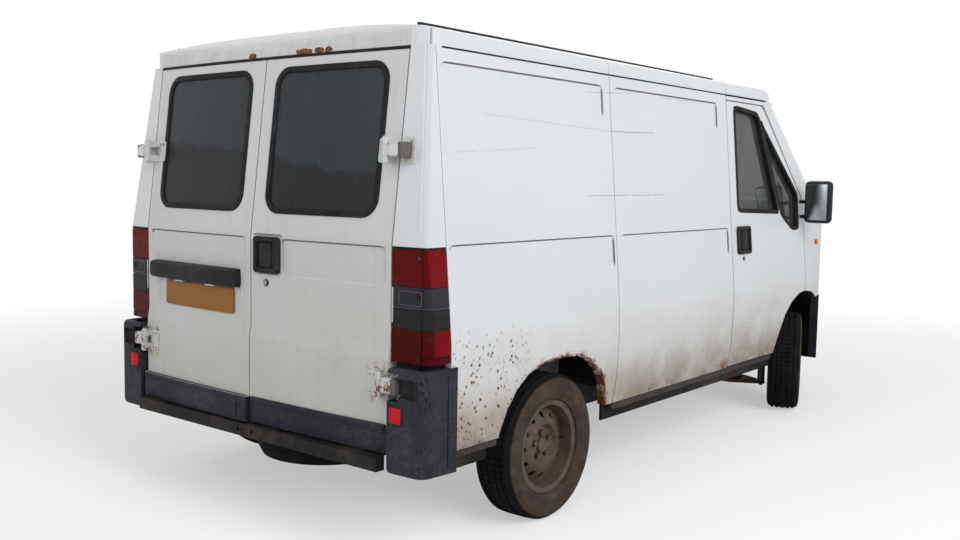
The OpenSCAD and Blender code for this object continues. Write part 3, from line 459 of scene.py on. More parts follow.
@dataclass(frozen=True)
class Glass:
    """Window glass: clear or tinted, with a film of dust."""

    name: str
    tint: Colour = (0.10, 0.13, 0.125)
    through: float = 0.60
    film: float = 0.10

    def make(self) -> bpy.types.Material:
        """Returns the glass's material."""
        g = Graph(self.name)
        smear = g.noise(1.0, 5, 0.65, g.stretched((7.0, 7.0, 2.5)))
        film = smear.step(0.40, 0.75) * self.film
        colour = g.blend(film, self.tint, (0.40, 0.39, 0.36))
        return g.finish({
            "Base Color": colour, "Roughness": 0.03 + film * 0.5, "Alpha": (1.0 - self.through) + film * 0.6,
            "IOR": 1.45, "Specular IOR Level": 0.30,
        })


@dataclass(frozen=True)
class DarkGlass:
    """Painted-over glass: near black with a weathered, streaky film, and a painted reflection that makes it
    lighter above a wavy horizon.
    """

    name: str = "dark_glass"

    def make(self) -> bpy.types.Material:
        """Returns the dark glass's material."""
        g = Graph(self.name)
        cloud = g.noise(3.2, 5, 0.6)
        streak = g.noise(1.0, 5, 0.7, g.stretched((26.0, 26.0, 2.2)))
        # painted reflection: a lighter bluish tone above a wavy horizon line, darker below
        edge = g.z + (g.noise(4.0, 5, 0.65) - 0.5) * 0.12 - g.y * 0.11
        colour = g.blend(edge.step(1.570, 1.592) * 0.8 + cloud * 0.2, (0.012, 0.0135, 0.0145),
            (0.031, 0.037, 0.043))
        film = streak.step(0.50, 0.80) * 0.05 + cloud.step(0.55, 0.8) * 0.05
        colour = g.blend(film, colour, (0.17, 0.17, 0.16))
        return g.finish({
            "Base Color": colour, "Roughness": 0.22 + film * 1.2 + cloud * 0.08, "Specular IOR Level": 0.16,
            "Normal": g.bump(g.noise(420.0, 2), 0.0001),
        })


@dataclass(frozen=True)
class Lens:
    """A moulded lamp lens with ribs behind its face."""

    name: str
    colour: Colour
    deep: Colour
    ribs: float = 520.0
    dust: float = 0.05
    glow: float = 0.0

    def make(self) -> bpy.types.Material:
        """Returns the lens's material."""
        g = Graph(self.name)
        across = g.node("ShaderNodeTexWave", {"wave_type": "BANDS", "bands_direction": "Y"},
            {"Vector": g.coords, "Scale": self.ribs / 6.3})
        along = g.node("ShaderNodeTexWave", {"wave_type": "BANDS", "bands_direction": "Z"},
            {"Vector": g.coords, "Scale": self.ribs / 6.3})
        grid = (across * along) ** 0.6
        colour = g.blend(0.55 + grid * 0.30 + g.noise(6.0, 4) * 0.2, self.deep, self.colour)
        film = g.noise(9.0, 5, 0.7).step(0.45, 0.8) * self.dust
        colour = g.blend(film, colour, (0.35, 0.30, 0.24))
        return g.finish({
            "Base Color": colour, "Roughness": 0.24 + film * 1.6, "Specular IOR Level": 0.07,
            "Normal": g.bump(grid, 0.0003),
        })


@dataclass(frozen=True)
class Cloth:
    """Woven seat cloth with a fleck and worn patches."""

    name: str = "seat_cloth"
    colour: Colour = (0.050, 0.055, 0.075)
    fleck: Colour = (0.13, 0.14, 0.17)

    def make(self) -> bpy.types.Material:
        """Returns the cloth's material."""
        g = Graph(self.name)
        warp = g.node("ShaderNodeTexWave", {"wave_type": "BANDS", "bands_direction": "X"},
            {"Vector": g.coords, "Scale": 180.0})
        weft = g.node("ShaderNodeTexWave", {"wave_type": "BANDS", "bands_direction": "Y"},
            {"Vector": g.coords, "Scale": 180.0})
        weave = warp * weft
        colour = g.blend(g.noise(90.0, 3).step(0.5, 0.7), self.colour, self.fleck)
        colour = g.blend(g.noise(3.0, 4).step(0.5, 0.8) * 0.4, colour, (0.11, 0.10, 0.095))
        return g.finish(
            {"Base Color": colour, "Roughness": 0.88 + weave * 0.08, "Sheen Weight": 0.35,
            "Normal": g.bump(weave, 0.0008)})


@dataclass(frozen=True)
class Metal:
    """Plain metal with fine wear: bright, brushed or cast."""

    name: str
    colour: Colour
    rough: float = 0.3
    metallic: float = 1.0
    stain: Colour = (0.10, 0.07, 0.05)
    worn: float = 0.3

    def make(self) -> bpy.types.Material:
        """Returns the metal's material."""
        g = Graph(self.name)
        patch = g.noise(14.0, 5, 0.7)
        fine = g.noise(200.0, 3, 0.6)
        mask = patch.step(0.50, 0.72) * self.worn
        return g.finish({
            "Base Color": g.blend(mask, self.colour, self.stain), "Metallic": self.metallic - mask * 0.6,
            "Roughness": self.rough + fine * 0.12 + mask * 0.4, "Normal": g.bump(fine + patch, 0.0005),
        })


@dataclass(frozen=True)
class PlateSheet:
    """Reflective amber plate, blank, dusty towards its lower edge."""

    name: str = "plate_sheet"

    def make(self) -> bpy.types.Material:
        """Returns the plate's material."""
        g = Graph(self.name)
        dust = g.noise(12.0, 5, 0.7).step(0.45, 0.75) * 0.22 + g.z.step(0.95, 0.89) * 0.22
        colour = g.blend(dust, (0.30, 0.120, 0.014), (0.20, 0.11, 0.04))
        beads = g.cells(900.0)
        return g.finish(
            {"Base Color": colour, "Roughness": 0.38 + dust * 0.6, "Specular IOR Level": 0.2,
            "Normal": g.bump(beads, 0.0003)})


@dataclass(frozen=True)
class Ply:
    """Scuffed board with a grain, for the load floor and the bulkhead."""

    name: str
    colour: Colour
    dark: Colour

    def make(self) -> bpy.types.Material:
        """Returns the board's material."""
        g = Graph(self.name)
        grain = g.noise(1.0, 6, 0.7, g.stretched((2.0, 46.0, 46.0)))
        scuff = g.noise(7.0, 6, 0.75)
        colour = g.blend(grain.step(0.3, 0.7), self.dark, self.colour)
        colour = g.blend(scuff.step(0.52, 0.72) * 0.5, colour, (0.10, 0.085, 0.07))
        return g.finish(
            {"Base Color": colour, "Roughness": 0.72 + scuff * 0.2, "Normal": g.bump(grain, 0.0008)})


class Finishes:
    """Makes each finish once and hands it out by name."""

    def __init__(self) -> None:
        """Lists the van's finishes."""
        self.kinds = {
            finish.name: finish
            for finish in (BodyPaint(),
            Moulded("grey_plastic", (0.021, 0.023, 0.030), (0.038, 0.041, 0.051), 0.52, 700.0, 0.0006,
            0.16, chips=0.95),
            # a darker grey for the edges of pressings and the roof's joints: painted shade
            Moulded("painted_edge_shade", (0.15, 0.15, 0.155), (0.22, 0.21, 0.20), 0.6, 300.0, 0.0003, 0.10,
            shine=0.1), Moulded("step_plastic", (0.044, 0.037, 0.034), (0.070, 0.057, 0.050), 0.60, 500.0,
            0.0010, 0.30, chips=0.5),
            Moulded("black_plastic", (0.012, 0.012, 0.014), (0.028, 0.028, 0.031), 0.48, 900.0, 0.0004,
            0.14), Moulded("rubber_seal", (0.008, 0.008, 0.009), (0.022, 0.022, 0.024), 0.62, 500.0,
            0.0004, 0.16),
            Moulded("dash_plastic", (0.030, 0.031, 0.036), (0.042, 0.043, 0.048), 0.66, 420.0, 0.0010,
            0.10), Moulded("trim_grey", (0.16, 0.16, 0.165), (0.20, 0.20, 0.20), 0.70, 420.0, 0.0008,
            0.15), Moulded("floor_mat", (0.018, 0.018, 0.019), (0.040, 0.037, 0.033), 0.85, 260.0, 0.0012,
            0.55), RustySteel("chassis_steel", amount=0.55),
            RustySteel("beam_steel", (0.012, 0.012, 0.013), (0.075, 0.032, 0.018), 0.22, 0.25),
            RustySteel("brake_steel", (0.13, 0.12, 0.115), (0.15, 0.06, 0.03), 0.25, 0.2),
            RustySteel("inner_steel", (0.17, 0.175, 0.18), (0.16, 0.07, 0.04), 0.0, 0.30), WheelSteel(),
            TyreRubber(), TyreRubber("tyre_wall", (0.040, 0.030, 0.025), (0.082, 0.060, 0.048)),
            RustySteel("underseal", (0.010, 0.0095, 0.009), (0.035, 0.018, 0.011), 0.30, 0.25),
            DarkGlass(), Cloth(), PlateSheet(), Glass("clear_glass"),
            Glass("side_glass", (0.045, 0.052, 0.042), 0.28, 0.10),
            Lens("red_lens", (0.20, 0.002, 0.004), (0.085, 0.0008, 0.0015)),
            Lens("red_mid", (0.125, 0.002, 0.003), (0.050, 0.0008, 0.0012)),
            Lens("lens_frame", (0.11, 0.11, 0.12), (0.07, 0.07, 0.075)),
            Lens("smoke_lens", (0.036, 0.036, 0.041), (0.018, 0.018, 0.021)),
            Lens("smoke_dark", (0.022, 0.023, 0.025), (0.011, 0.0115, 0.0125)),
            Lens("red_dark", (0.070, 0.002, 0.003), (0.030, 0.0008, 0.0012)),
            Lens("bright_red", (0.62, 0.015, 0.018), (0.34, 0.006, 0.008), 260.0),
            Lens("clear_lens", (0.62, 0.65, 0.67), (0.28, 0.30, 0.32), 90.0, 0.08),
            Lens("amber_lens", (0.66, 0.16, 0.015), (0.26, 0.05, 0.005), 200.0, 0.08),
            Metal("cast_alloy", (0.38, 0.38, 0.37), 0.45, 0.8),
            Metal("zinc", (0.50, 0.50, 0.48), 0.40, 0.9),
            Metal("mirror_face", (0.42, 0.44, 0.47), 0.10, 1.0, worn=0.05),
            Metal("pan_white", (0.56, 0.56, 0.53), 0.42, 0.0, (0.20, 0.10, 0.05), 0.45),
            Ply("load_board", (0.30, 0.215, 0.13), (0.20, 0.14, 0.085)),
            Ply("bulkhead_board", (0.30, 0.29, 0.27), (0.24, 0.23, 0.215)),)}
        self.made: dict[str, bpy.types.Material] = {}

    def __getitem__(self, name: str) -> bpy.types.Material:
        """Returns the material of that name, made when first asked for."""
        if name not in self.made:
            self.made[name] = self.kinds[name].make()
        return self.made[name]


SLOT_OF = {"body_paint": "body_paint", "grey_plastic": "grey_plastic", "step_plastic": "grey_plastic",
    "painted_edge_shade": "body_paint", "lens_frame": "smoke_lens", "black_plastic": "black_plastic",
    "rubber_seal": "black_plastic", "dash_plastic": "black_plastic", "trim_grey": "board",
    "floor_mat": "black_plastic", "chassis_steel": "chassis_steel", "beam_steel": "chassis_steel",
    "brake_steel": "chassis_steel", "inner_steel": "floor_steel", "wheel_steel": "rim_steel",
    "tyre_rubber": "tyre_rubber", "tyre_wall": "tyre_rubber", "underseal": "chassis_steel",
    "dark_glass": "dark_glass", "seat_cloth": "seat_cloth", "plate_sheet": "red_lens",
    "clear_glass": "clear_glass", "side_glass": "tinted_glass", "red_lens": "red_lens",
    "smoke_lens": "red_lens", "red_mid": "red_lens", "smoke_dark": "red_lens", "red_dark": "red_lens",
    "bright_red": "red_lens", "clear_lens": "lamp_glass", "amber_lens": "red_lens",
    "cast_alloy": "engine_metal", "zinc": "engine_metal", "mirror_face": "lamp_glass",
    "pan_white": "body_paint", "load_board": "floor_steel", "bulkhead_board": "board"}


# ------------------------------------------------------------ the body's shape


@dataclass(frozen=True)
class BodyShape:
    """The van's outer surfaces, as the CAD holds them."""

    half: float = 0.999
    waist: float = 0.869
    gutter: float = 2.0
    lean: float = 0.100
    sill: float = 0.440
    tuck: float = 0.028
    rear_x: float = -2.2895
    kink: float = 1.25
    rake: float = 0.091 / 0.75
    bow: float = 0.028
    bow_half: float = 0.803
    top: float = 2.125
    crown: float = 0.052

    def side_y(self, z: float) -> float:
        """Half width of the body at a height."""
        if z > self.waist:
            return self.half - self.lean * (z - self.waist) / (self.gutter - self.waist)
        knots = ((self.sill - 0.2, self.tuck), (self.sill, self.tuck), (self.sill + 0.15, 0.007),
            (self.waist - 0.08, 0.0), (9.0, 0.0))
        for (low, tuck), (high, next_tuck) in zip(knots, knots[1:]):
            if z <= high:
                return self.half - tuck - (next_tuck - tuck) * (z - low) / (high - low)
        return self.half

    def rear_at(self, y: float, z: float) -> float:
        """X of the rear face at a place on it."""
        return self.rear_x + self.bow * (y / self.bow_half) ** 2 + max(0.0, z - self.kink) * self.rake

    def roof_z(self, y: float) -> float:
        """Height of the roof over a place in its width."""
        return self.top - self.crown * (y / (self.half - 0.150)) ** 2

    def on_side(self, side: int) -> Callable[[Vector], Vector]:
        """Maps (along, out, height) onto a side wall."""
        return lambda p: Vector((p.x, side * (self.side_y(p.z) + p.y), p.z))

    def on_rear(self) -> Callable[[Vector], Vector]:
        """Maps (across, out, height) onto the rear face."""
        return lambda p: Vector((self.rear_at(p.x, p.z) - p.y, p.x, p.z))


SHAPE = BodyShape()


def on_patch(at: Vector, normal: Vector) -> Callable[[Vector], Vector]:
    """Maps (across, out, up) onto a small flat patch.

    Args:
        at: the patch's middle.
        normal: the way it faces.

    Returns:
        The mapping of a point.
    """
    across = Vector((0, 0, 1)).cross(normal).normalized()
    up = normal.cross(across)
    return lambda p: at + across * p.x + up * p.z + normal * p.y


@dataclass(frozen=True)
class Pressing:
    """A rounded rectangle pressed into sheet, in a face's own two directions."""

    low: tuple[float, float]
    high: tuple[float, float]
    depth: float
    corner: float = 0.028
    slope: float = 0.007

    def fall(self, u: float, v: float) -> float:
        """How far the sheet is pushed in at a place."""
        centre_u, centre_v = (self.low[0] + self.high[0]) / 2, (self.low[1] + self.high[1]) / 2
        out_u = abs(u - centre_u) - (self.high[0] - self.low[0]) / 2 + self.corner
        out_v = abs(v - centre_v) - (self.high[1] - self.low[1]) / 2 + self.corner
        distance = math.hypot(max(out_u, 0.0), max(out_v, 0.0)) + min(max(out_u, out_v), 0.0) - self.corner
        t = min(max(-distance / self.slope, 0.0), 1.0)
        return self.depth * t * t * (3 - 2 * t)

    def lines(self) -> tuple[list[float], list[float]]:
        """Where the sheet has to be divided for the edges to come out crisp."""
        inward = [-0.5, 0.0, 0.25, 0.5, 0.75, 1.0]
        steps = [self.slope * t for t in inward] + [self.slope + self.corner * t for t in (0.35, 0.7, 1.0)]
        divide = lambda low, high: [low + s for s in steps] + [high - s for s in steps]
        return divide(self.low[0], self.high[0]), divide(self.low[1], self.high[1])


@dataclass(frozen=True)
class Groove:
    """A straight joint between two sheets, seen as a narrow groove."""

    upright: bool
    at: float
    start: float
    end: float
    width: float = 0.005
    depth: float = 0.006

    def fall(self, u: float, v: float) -> float:
        """How far the sheet is pushed in at a place."""
        across, along = (u, v) if self.upright else (v, u)
        if not self.start - 1e-6 <= along <= self.end + 1e-6:
            return 0.0
        return self.depth if abs(across - self.at) < self.width * 0.3 else 0.0

    def lines(self) -> tuple[list[float], list[float]]:
        """Where the sheet has to be divided for the groove."""
        own = [self.at + self.width * t for t in (-0.5, -0.25, 0.25, 0.5)]
        ends = [self.start, self.end]
        return (own, ends) if self.upright else (ends, own)


@dataclass(frozen=True)
class Swell:
    """A soft rise or dent of the sheet, round about a place."""

    u: float
    v: float
    half_u: float
    half_v: float
    depth: float

    def fall(self, u: float, v: float) -> float:
        """How far the sheet is pushed in at a place."""
        r = math.hypot((u - self.u) / self.half_u, (v - self.v) / self.half_v)
        return self.depth * (1 - r * r) ** 2 if r < 1 else 0.0

    def lines(self) -> tuple[list[float], list[float]]:
        """Where the sheet has to be divided for the swell."""
        divide = lambda centre, half: [centre + half * k / 5 for k in range(-5, 6)]
        return divide(self.u, self.half_u), divide(self.v, self.half_v)


@dataclass(frozen=True)
class Crease:
    """A band across the sheet whose depth follows a list of heights."""

    knots: tuple[tuple[float, float], ...]

    def fall(self, u: float, v: float) -> float:
        """How far the sheet is pushed in at a height."""
        for (low, a), (high, b) in zip(self.knots, self.knots[1:]):
            if low <= v <= high:
                t = (v - low) / (high - low)
                return a + (b - a) * t * t * (3 - 2 * t)
        return 0.0

    def lines(self) -> tuple[list[float], list[float]]:
        """Where the sheet has to be divided for the crease."""
        levels = []
        for (low, _), (high, _) in zip(self.knots, self.knots[1:]):
            levels += [low + (high - low) * k / 4 for k in range(4)]
        return [], levels + [self.knots[-1][0]]


Feature = Pressing | Groove | Swell | Crease


# ---------------------------------------------------------------- piece making


class Workshop:
    """What every piece needs: the frame's nodes and the finishes."""

    def __init__(self, frame: dict) -> None:
        """Keeps the loaded frame and starts the finishes."""
        self.nodes: dict[str, bpy.types.Object] = frame["nodes"]
        self.finishes = Finishes()
        self.count = 0
        self.triangles = 0

    def piece(self, name: str, finish: str) -> "Piece":
        """Starts a new piece."""
        return Piece(self, name, finish)

    def copy(self, name: str, node: str, finish: str, flat: float = 0.4) -> "Piece":
        """Starts a piece from a CAD node's shape, with its triangles joined.

        Args:
            name: the piece's name.
            node: the CAD node it copies.
            finish: its finish.
            flat: largest angle, in degrees, at which faces are joined into one.

        Returns:
            The new piece.
        """
        made = Piece(self, name, finish)
        made.bm.from_mesh(self.nodes[node].data)
        bmesh.ops.remove_doubles(made.bm, verts=made.bm.verts, dist=2e-5)
        bmesh.ops.dissolve_limit(
            made.bm, angle_limit=math.radians(flat), use_dissolve_boundaries=False,
            verts=made.bm.verts, edges=made.bm.edges, delimit={"NORMAL"},
        )
        made.bm.normal_update()
        for face in made.bm.faces:
            face.material_index = 0
        return made

    def paint(self, node: str, finish: str) -> None:
        """Gives a CAD node a finish as it stands."""
        data = self.nodes[node].data
        data.materials.clear()
        data.materials.append(self.finishes[finish])


class Piece:
    """A mesh in the making, and the object it becomes."""

    def __init__(self, shop: Workshop, name: str, finish: str) -> None:
        """Starts an empty mesh."""
        self.shop = shop
        self.name = name
        self.bm = bmesh.new()
        self.finishes = [finish]

    def finish_index(self, finish: str | None) -> int:
        """Returns the material place of a finish, adding it when it is new."""
        if finish is None:
            return 0
        if finish not in self.finishes:
            self.finishes.append(finish)
        return self.finishes.index(finish)

    def _dress(self, faces: Iterable[bmesh.types.BMFace], finish: str | None) -> None:
        """Gives faces a finish."""
        index = self.finish_index(finish)
        for face in faces:
            face.material_index = index

    def paint_where(self, test: Callable[[Vector], bool], finish: str) -> None:
        """Gives a finish to each face whose middle passes a test."""
        self._dress((f for f in self.bm.faces if test(f.calc_center_median())), finish)

    def _faces_of(self, verts: Iterable[bmesh.types.BMVert]) -> set[bmesh.types.BMFace]:
        """Returns every face on some vertices."""
        return {face for vert in verts for face in vert.link_faces}

    def box(self, low: Sequence[float], high: Sequence[float], round_: float = 0.0, finish: str | None = None,
            segments: int = 2) -> list[bmesh.types.BMVert]:
        """Adds a box with rounded edges.

        Args:
            low: its lowest corner.
            high: its highest corner.
            round_: radius of its edges.
            finish: its finish, if not the piece's own.
            segments: how finely its edges are rounded.

        Returns:
            Its vertices.
        """
        low, high = Vector(low), Vector(high)
        made = bmesh.ops.create_cube(self.bm, size=1.0)["verts"]
        matrix = Matrix.Translation((low + high) / 2) @ Matrix.Diagonal((*(high - low), 1.0))
        bmesh.ops.transform(self.bm, matrix=matrix, verts=made)
        if round_ > 0:
            edges = once(edge for vert in made for edge in vert.link_edges)
            result = bmesh.ops.bevel(
                self.bm, geom=edges + made, offset=round_, offset_type="OFFSET", affect="EDGES",
                segments=segments, profile=0.5, material=-1, clamp_overlap=True,
            )
            made = once([*(v for f in result["faces"] for v in f.verts), *(v for v in made if v.is_valid)])
        self._dress(self._faces_of(made), finish)
        return made

    def rod(self, start: Sequence[float], end: Sequence[float], radius: float, finish: str | None = None,
            segments: int = 20, end_radius: float | None = None,
            round_: float = 0.0) -> list[bmesh.types.BMVert]:
        """Adds a round rod, or a cone with a second radius.

        Args:
            start: middle of its first end.
            end: middle of its second end.
            radius: radius at the first end.
            finish: its finish, if not the piece's own.
            segments: sides of its circle.
            end_radius: radius at the second end, if it differs.
            round_: radius of its end edges.

        Returns:
            Its vertices.
        """
        start, end = Vector(start), Vector(end)
        run = end - start
        turn = Vector((0, 0, 1)).rotation_difference(run).to_matrix().to_4x4()
        made = bmesh.ops.create_cone(
            self.bm, cap_ends=True, segments=segments, radius1=radius,
            radius2=radius if end_radius is None else end_radius, depth=run.length,
            matrix=Matrix.Translation((start + end) / 2) @ turn,
        )["verts"]
        if round_ > 0:
            rims = [
                e for e in once(e for v in made for e in v.link_edges)
                if any(len(f.verts) > 4 for f in e.link_faces)]
            result = bmesh.ops.bevel(
                self.bm, geom=rims, offset=round_, offset_type="OFFSET", affect="EDGES",
                segments=2, profile=0.5, material=-1, clamp_overlap=True,
            )
            made = once([*(v for f in result["faces"] for v in f.verts), *(v for v in made if v.is_valid)])
        self._dress(self._faces_of(made), finish)
        return made

    def lathe(self, profile: Sequence[tuple[float, float]], place: Matrix, finish: str | None = None,
              steps: int = 64, closed: bool = True) -> list[bmesh.types.BMVert]:
        """Turns a profile of (radius, height) about the Z axis of a place.

        Args:
            profile: the outline's points.
            place: where the turned shape goes.
            finish: its finish, if not the piece's own.
            steps: faces around it.
            closed: whether the outline closes on itself.

        Returns:
            Its vertices.
        """
        points = [self.bm.verts.new((r, 0.0, h)) for r, h in profile]
        pairs = list(zip(points, points[1:])) + ([(points[-1], points[0])] if closed else [])
        edges = [self.bm.edges.new(pair) for pair in pairs]
        before = set(self.bm.verts) - set(points)
        bmesh.ops.spin(
            self.bm, geom=points + edges, cent=(0, 0, 0), axis=(0, 0, 1), dvec=(0, 0, 0),
            angle=math.tau, steps=steps, use_merge=True, use_duplicate=False,
        )
        made = [v for v in self.bm.verts if v not in before]
        bmesh.ops.remove_doubles(self.bm, verts=made, dist=1e-6)
        made = [v for v in self.bm.verts if v not in before]
        bmesh.ops.transform(self.bm, matrix=place, verts=made)
        faces = self._faces_of(made)
        bmesh.ops.recalc_face_normals(self.bm, faces=list(faces))
        self._dress(faces, finish)
        return made

    def slab(self, corners: Sequence[tuple[float, float]], low: float, high: float,
            skin: Callable[[Vector], Vector], corner: float = 0.0, edge: float = 0.0, pitch: float = 0.12,
            hole: float = 0.0, finish: str | None = None, segments: int = 5,
            taper: float = 0.0) -> list[bmesh.types.BMVert]:
        """Adds a flat outline with thickness, laid on one of the body's faces.

        Args:
            corners: the outline in the face's two directions.
            low: how far out its back is.
            high: how far out its front is.
            skin: maps (along, out, height) onto the face.
            corner: radius of the outline's corners.
            edge: radius of its front edge.
            pitch: largest size of its faces, so that it follows the face.
            hole: width of the rim that is left when its middle is cut out, or 0.
            finish: its finish, if not the piece's own.
            segments: how finely the corners are rounded.
            taper: how much smaller its front is on every side.

        Returns:
            Its vertices.
        """
        bm = bmesh.new()
        face = bm.faces.new([bm.verts.new((u, low, v)) for u, v in corners])
        if corner > 0:
            bmesh.ops.bevel(
                bm, geom=list(bm.verts), offset=corner, offset_type="OFFSET", affect="VERTICES",
                segments=segments, profile=0.5, material=-1, clamp_overlap=True,
            )
        face = bm.faces[:][0]
        if hole > 0:
            bmesh.ops.inset_region(bm, faces=[face], thickness=hole, use_even_offset=True, use_boundary=True)
            inner = max(bm.faces, key=lambda f: len(f.verts))
            bmesh.ops.delete(bm, geom=[inner], context="FACES_ONLY")
        front = bmesh.ops.extrude_face_region(bm, geom=list(bm.faces))
        moved = [v for v in front["geom"] if isinstance(v, bmesh.types.BMVert)]
        bmesh.ops.translate(bm, verts=moved, vec=(0, high - low, 0))
        if taper > 0:
            middle = sum((v.co for v in moved), Vector()) / len(moved)
            span = max(abs(v.co.x - middle.x) for v in moved), max(abs(v.co.z - middle.z) for v in moved)
            for vert in moved:
                vert.co.x += (middle.x - vert.co.x) * taper / span[0]
                vert.co.z += (middle.z - vert.co.z) * taper / span[1]
        bm.normal_update()
        if edge > 0:
            rim = [
                e for e in bm.edges
                if abs(e.verts[0].co.y - high) < 1e-7 and abs(e.verts[1].co.y - high) < 1e-7
                and len(e.link_faces) == 2 and e.calc_face_angle(0) > 0.6
            ]
            bmesh.ops.bevel(
                bm, geom=rim, offset=edge, offset_type="OFFSET", affect="EDGES",
                segments=3, profile=0.5, material=-1, clamp_overlap=True,
            )
        for axis in (0, 2):
            places = [v.co[axis] for v in bm.verts]
            count = math.ceil((max(places) - min(places)) / pitch)
            for k in range(1, count):
                at = min(places) + (max(places) - min(places)) * k / count
                divide(bm, axis, at)
        for vert in bm.verts:
            vert.co = skin(vert.co)
        bmesh.ops.recalc_face_normals(bm, faces=list(bm.faces))
        return self._take(bm, finish)

    def _take(self, bm: bmesh.types.BMesh, finish: str | None) -> list[bmesh.types.BMVert]:
        """Adds another mesh to this one, in one finish, and returns its vertices."""
        index = self.finish_index(finish)
        for face in bm.faces:
            face.material_index = index
        data = bpy.data.meshes.new("part")
        bm.to_mesh(data)
        bm.free()
        self.bm.verts.ensure_lookup_table()
        count = len(self.bm.verts)
        self.bm.from_mesh(data)
        bpy.data.meshes.remove(data)
        self.bm.verts.ensure_lookup_table()
        return self.bm.verts[count:]

    def press(self, features: Sequence[Feature], where: Callable[[Vector], tuple[float, float] | None],
              push: Vector, axes: tuple[int, int], extra: Sequence[Sequence[float]] = ((), ())) -> "Piece":
        """Divides a sheet where its features need it and pushes them in.

        Args:
            features: what is pressed into it.
            where: gives a point's place on the sheet, or nothing for a point off it.
            push: direction and unit of the push.
            axes: the world axes of the sheet's two directions.
            extra: more places to divide at, in each direction.

        Returns:
            The piece.
        """
        cuts: list[set[float]] = [set(extra[0]), set(extra[1])]
        for feature in features:
            for own, found in zip(cuts, feature.lines()):
                own.update(round(value, 5) for value in found)
        for axis, own in zip(axes, cuts):
            places = [v.co[axis] for v in self.bm.verts]
            low, high = min(places) + 1e-4, max(places) - 1e-4
            for at in sorted(own):
                if low < at < high:
                    divide(self.bm, axis, at)
        for vert in self.bm.verts:
            place = where(vert.co)
            if place is not None:
                vert.co += push * sum(feature.fall(*place) for feature in features)
        self.bm.normal_update()
        return self

    def grime_and_edge_shade(self, features: Sequence[Feature], axes: tuple[int, int], out: Vector, back: Vector) -> "Piece":
        """Paints shade on the edges of pressings that face down or one way, with a darker finish.

        Args:
            features: what was pressed into the sheet.
            axes: the world axes of the sheet's two directions.
            out: direction away from the sheet.
            back: the other direction whose edges get the painted shade.

        Returns:
            The piece.
        """
        # edge faces that face down or back get the darker finish: painted shade
        dark = self.finish_index("painted_edge_shade")
        pressed = [f for f in features if isinstance(f, Pressing)]
        for face in self.bm.faces:
            at, normal = face.calc_center_median(), face.normal
            u, v = at[axes[0]], at[axes[1]]
            inside = any(f.low[0] < u < f.high[0] and f.low[1] < v < f.high[1] for f in pressed)
            if inside and normal.dot(out) > 0.15 and (normal.z < -0.30 or normal.dot(back) > 0.45):
                face.material_index = dark
        return self

    def soften(self, width: float, angle: float = 40.0, segments: int = 2,
               where: Callable[[Vector], bool] = lambda p: True) -> "Piece":
        """Rounds every sharp edge whose two ends pass a test."""
        self.bm.normal_update()
        sharp = [
            e for e in self.bm.edges if len(e.link_faces) == 2
            and e.calc_face_angle(0) > math.radians(angle) and all(where(v.co) for v in e.verts)]
        bmesh.ops.bevel(
            self.bm, geom=sharp, offset=width, offset_type="OFFSET", affect="EDGES",
            segments=segments, profile=0.5, material=-1, clamp_overlap=True,
        )
        return self

    def spot(self, near: Sequence[float]) -> tuple[Vector, Vector]:
        """Returns the point of the mesh nearest to a place, and the normal there."""
        found = BVHTree.FromBMesh(self.bm).find_nearest(Vector(near))
        return found[0], found[1]

    def mirror_y(self) -> "Piece":
        """Adds the same shape on the other side of the van."""
        geom = list(self.bm.verts) + list(self.bm.edges) + list(self.bm.faces)
        double = bmesh.ops.duplicate(self.bm, geom=geom)["geom"]
        verts = [v for v in double if isinstance(v, bmesh.types.BMVert)]
        bmesh.ops.scale(self.bm, vec=(1, -1, 1), verts=verts)
        bmesh.ops.reverse_faces(self.bm, faces=[f for f in double if isinstance(f, bmesh.types.BMFace)])
        return self

    def place(self, body: str, *nodes: str, smooth: float = 24.0) -> bpy.types.Object:
        """Turns the mesh into an object that rides on a body.

        Args:
            body: the CAD body it moves with.
            nodes: the CAD nodes it stands for.
            smooth: largest angle, in degrees, that is shaded as one surface.

        Returns:
            The object.
        """
        self.bm.normal_update()
        for face in self.bm.faces:
            face.smooth = True
        for edge in self.bm.edges:
            edge.smooth = len(edge.link_faces) == 2 and edge.calc_face_angle(4.0) < math.radians(smooth)
        data = bpy.data.meshes.new(self.name)
        self.bm.to_mesh(data)
        triangles = sum(len(f.verts) - 2 for f in self.bm.faces)
        self.bm.free()
        for finish in self.finishes:
            data.materials.append(self.shop.finishes[finish])
        made = bpy.data.objects.new(self.name, data)
        bpy.context.scene.collection.objects.link(made)
        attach(made, body)
        SLOT_OF[self.finishes[0]]
        if nodes:
            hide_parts(*nodes)
        self.shop.count += 1
        self.shop.triangles += triangles
        log.info("%s: %d triangles on %s", self.name, triangles, body)
        return made


def divide(bm: bmesh.types.BMesh, axis: int, at: float) -> None:
    """Cuts a mesh by the plane across an axis at a place."""
    point, normal = Vector(), Vector()
    point[axis], normal[axis] = at, 1.0
    bmesh.ops.bisect_plane(
        bm, geom=list(bm.verts) + list(bm.edges) + list(bm.faces), dist=1e-6, plane_co=point, plane_no=normal,
    )


def rectangle(u0: float, v0: float, u1: float, v1: float) -> list[tuple[float, float]]:
    """The four corners of a rectangle."""
    return [(u0, v0), (u1, v0), (u1, v1), (u0, v1)]


# ---------------------------------------------------------------------- studio


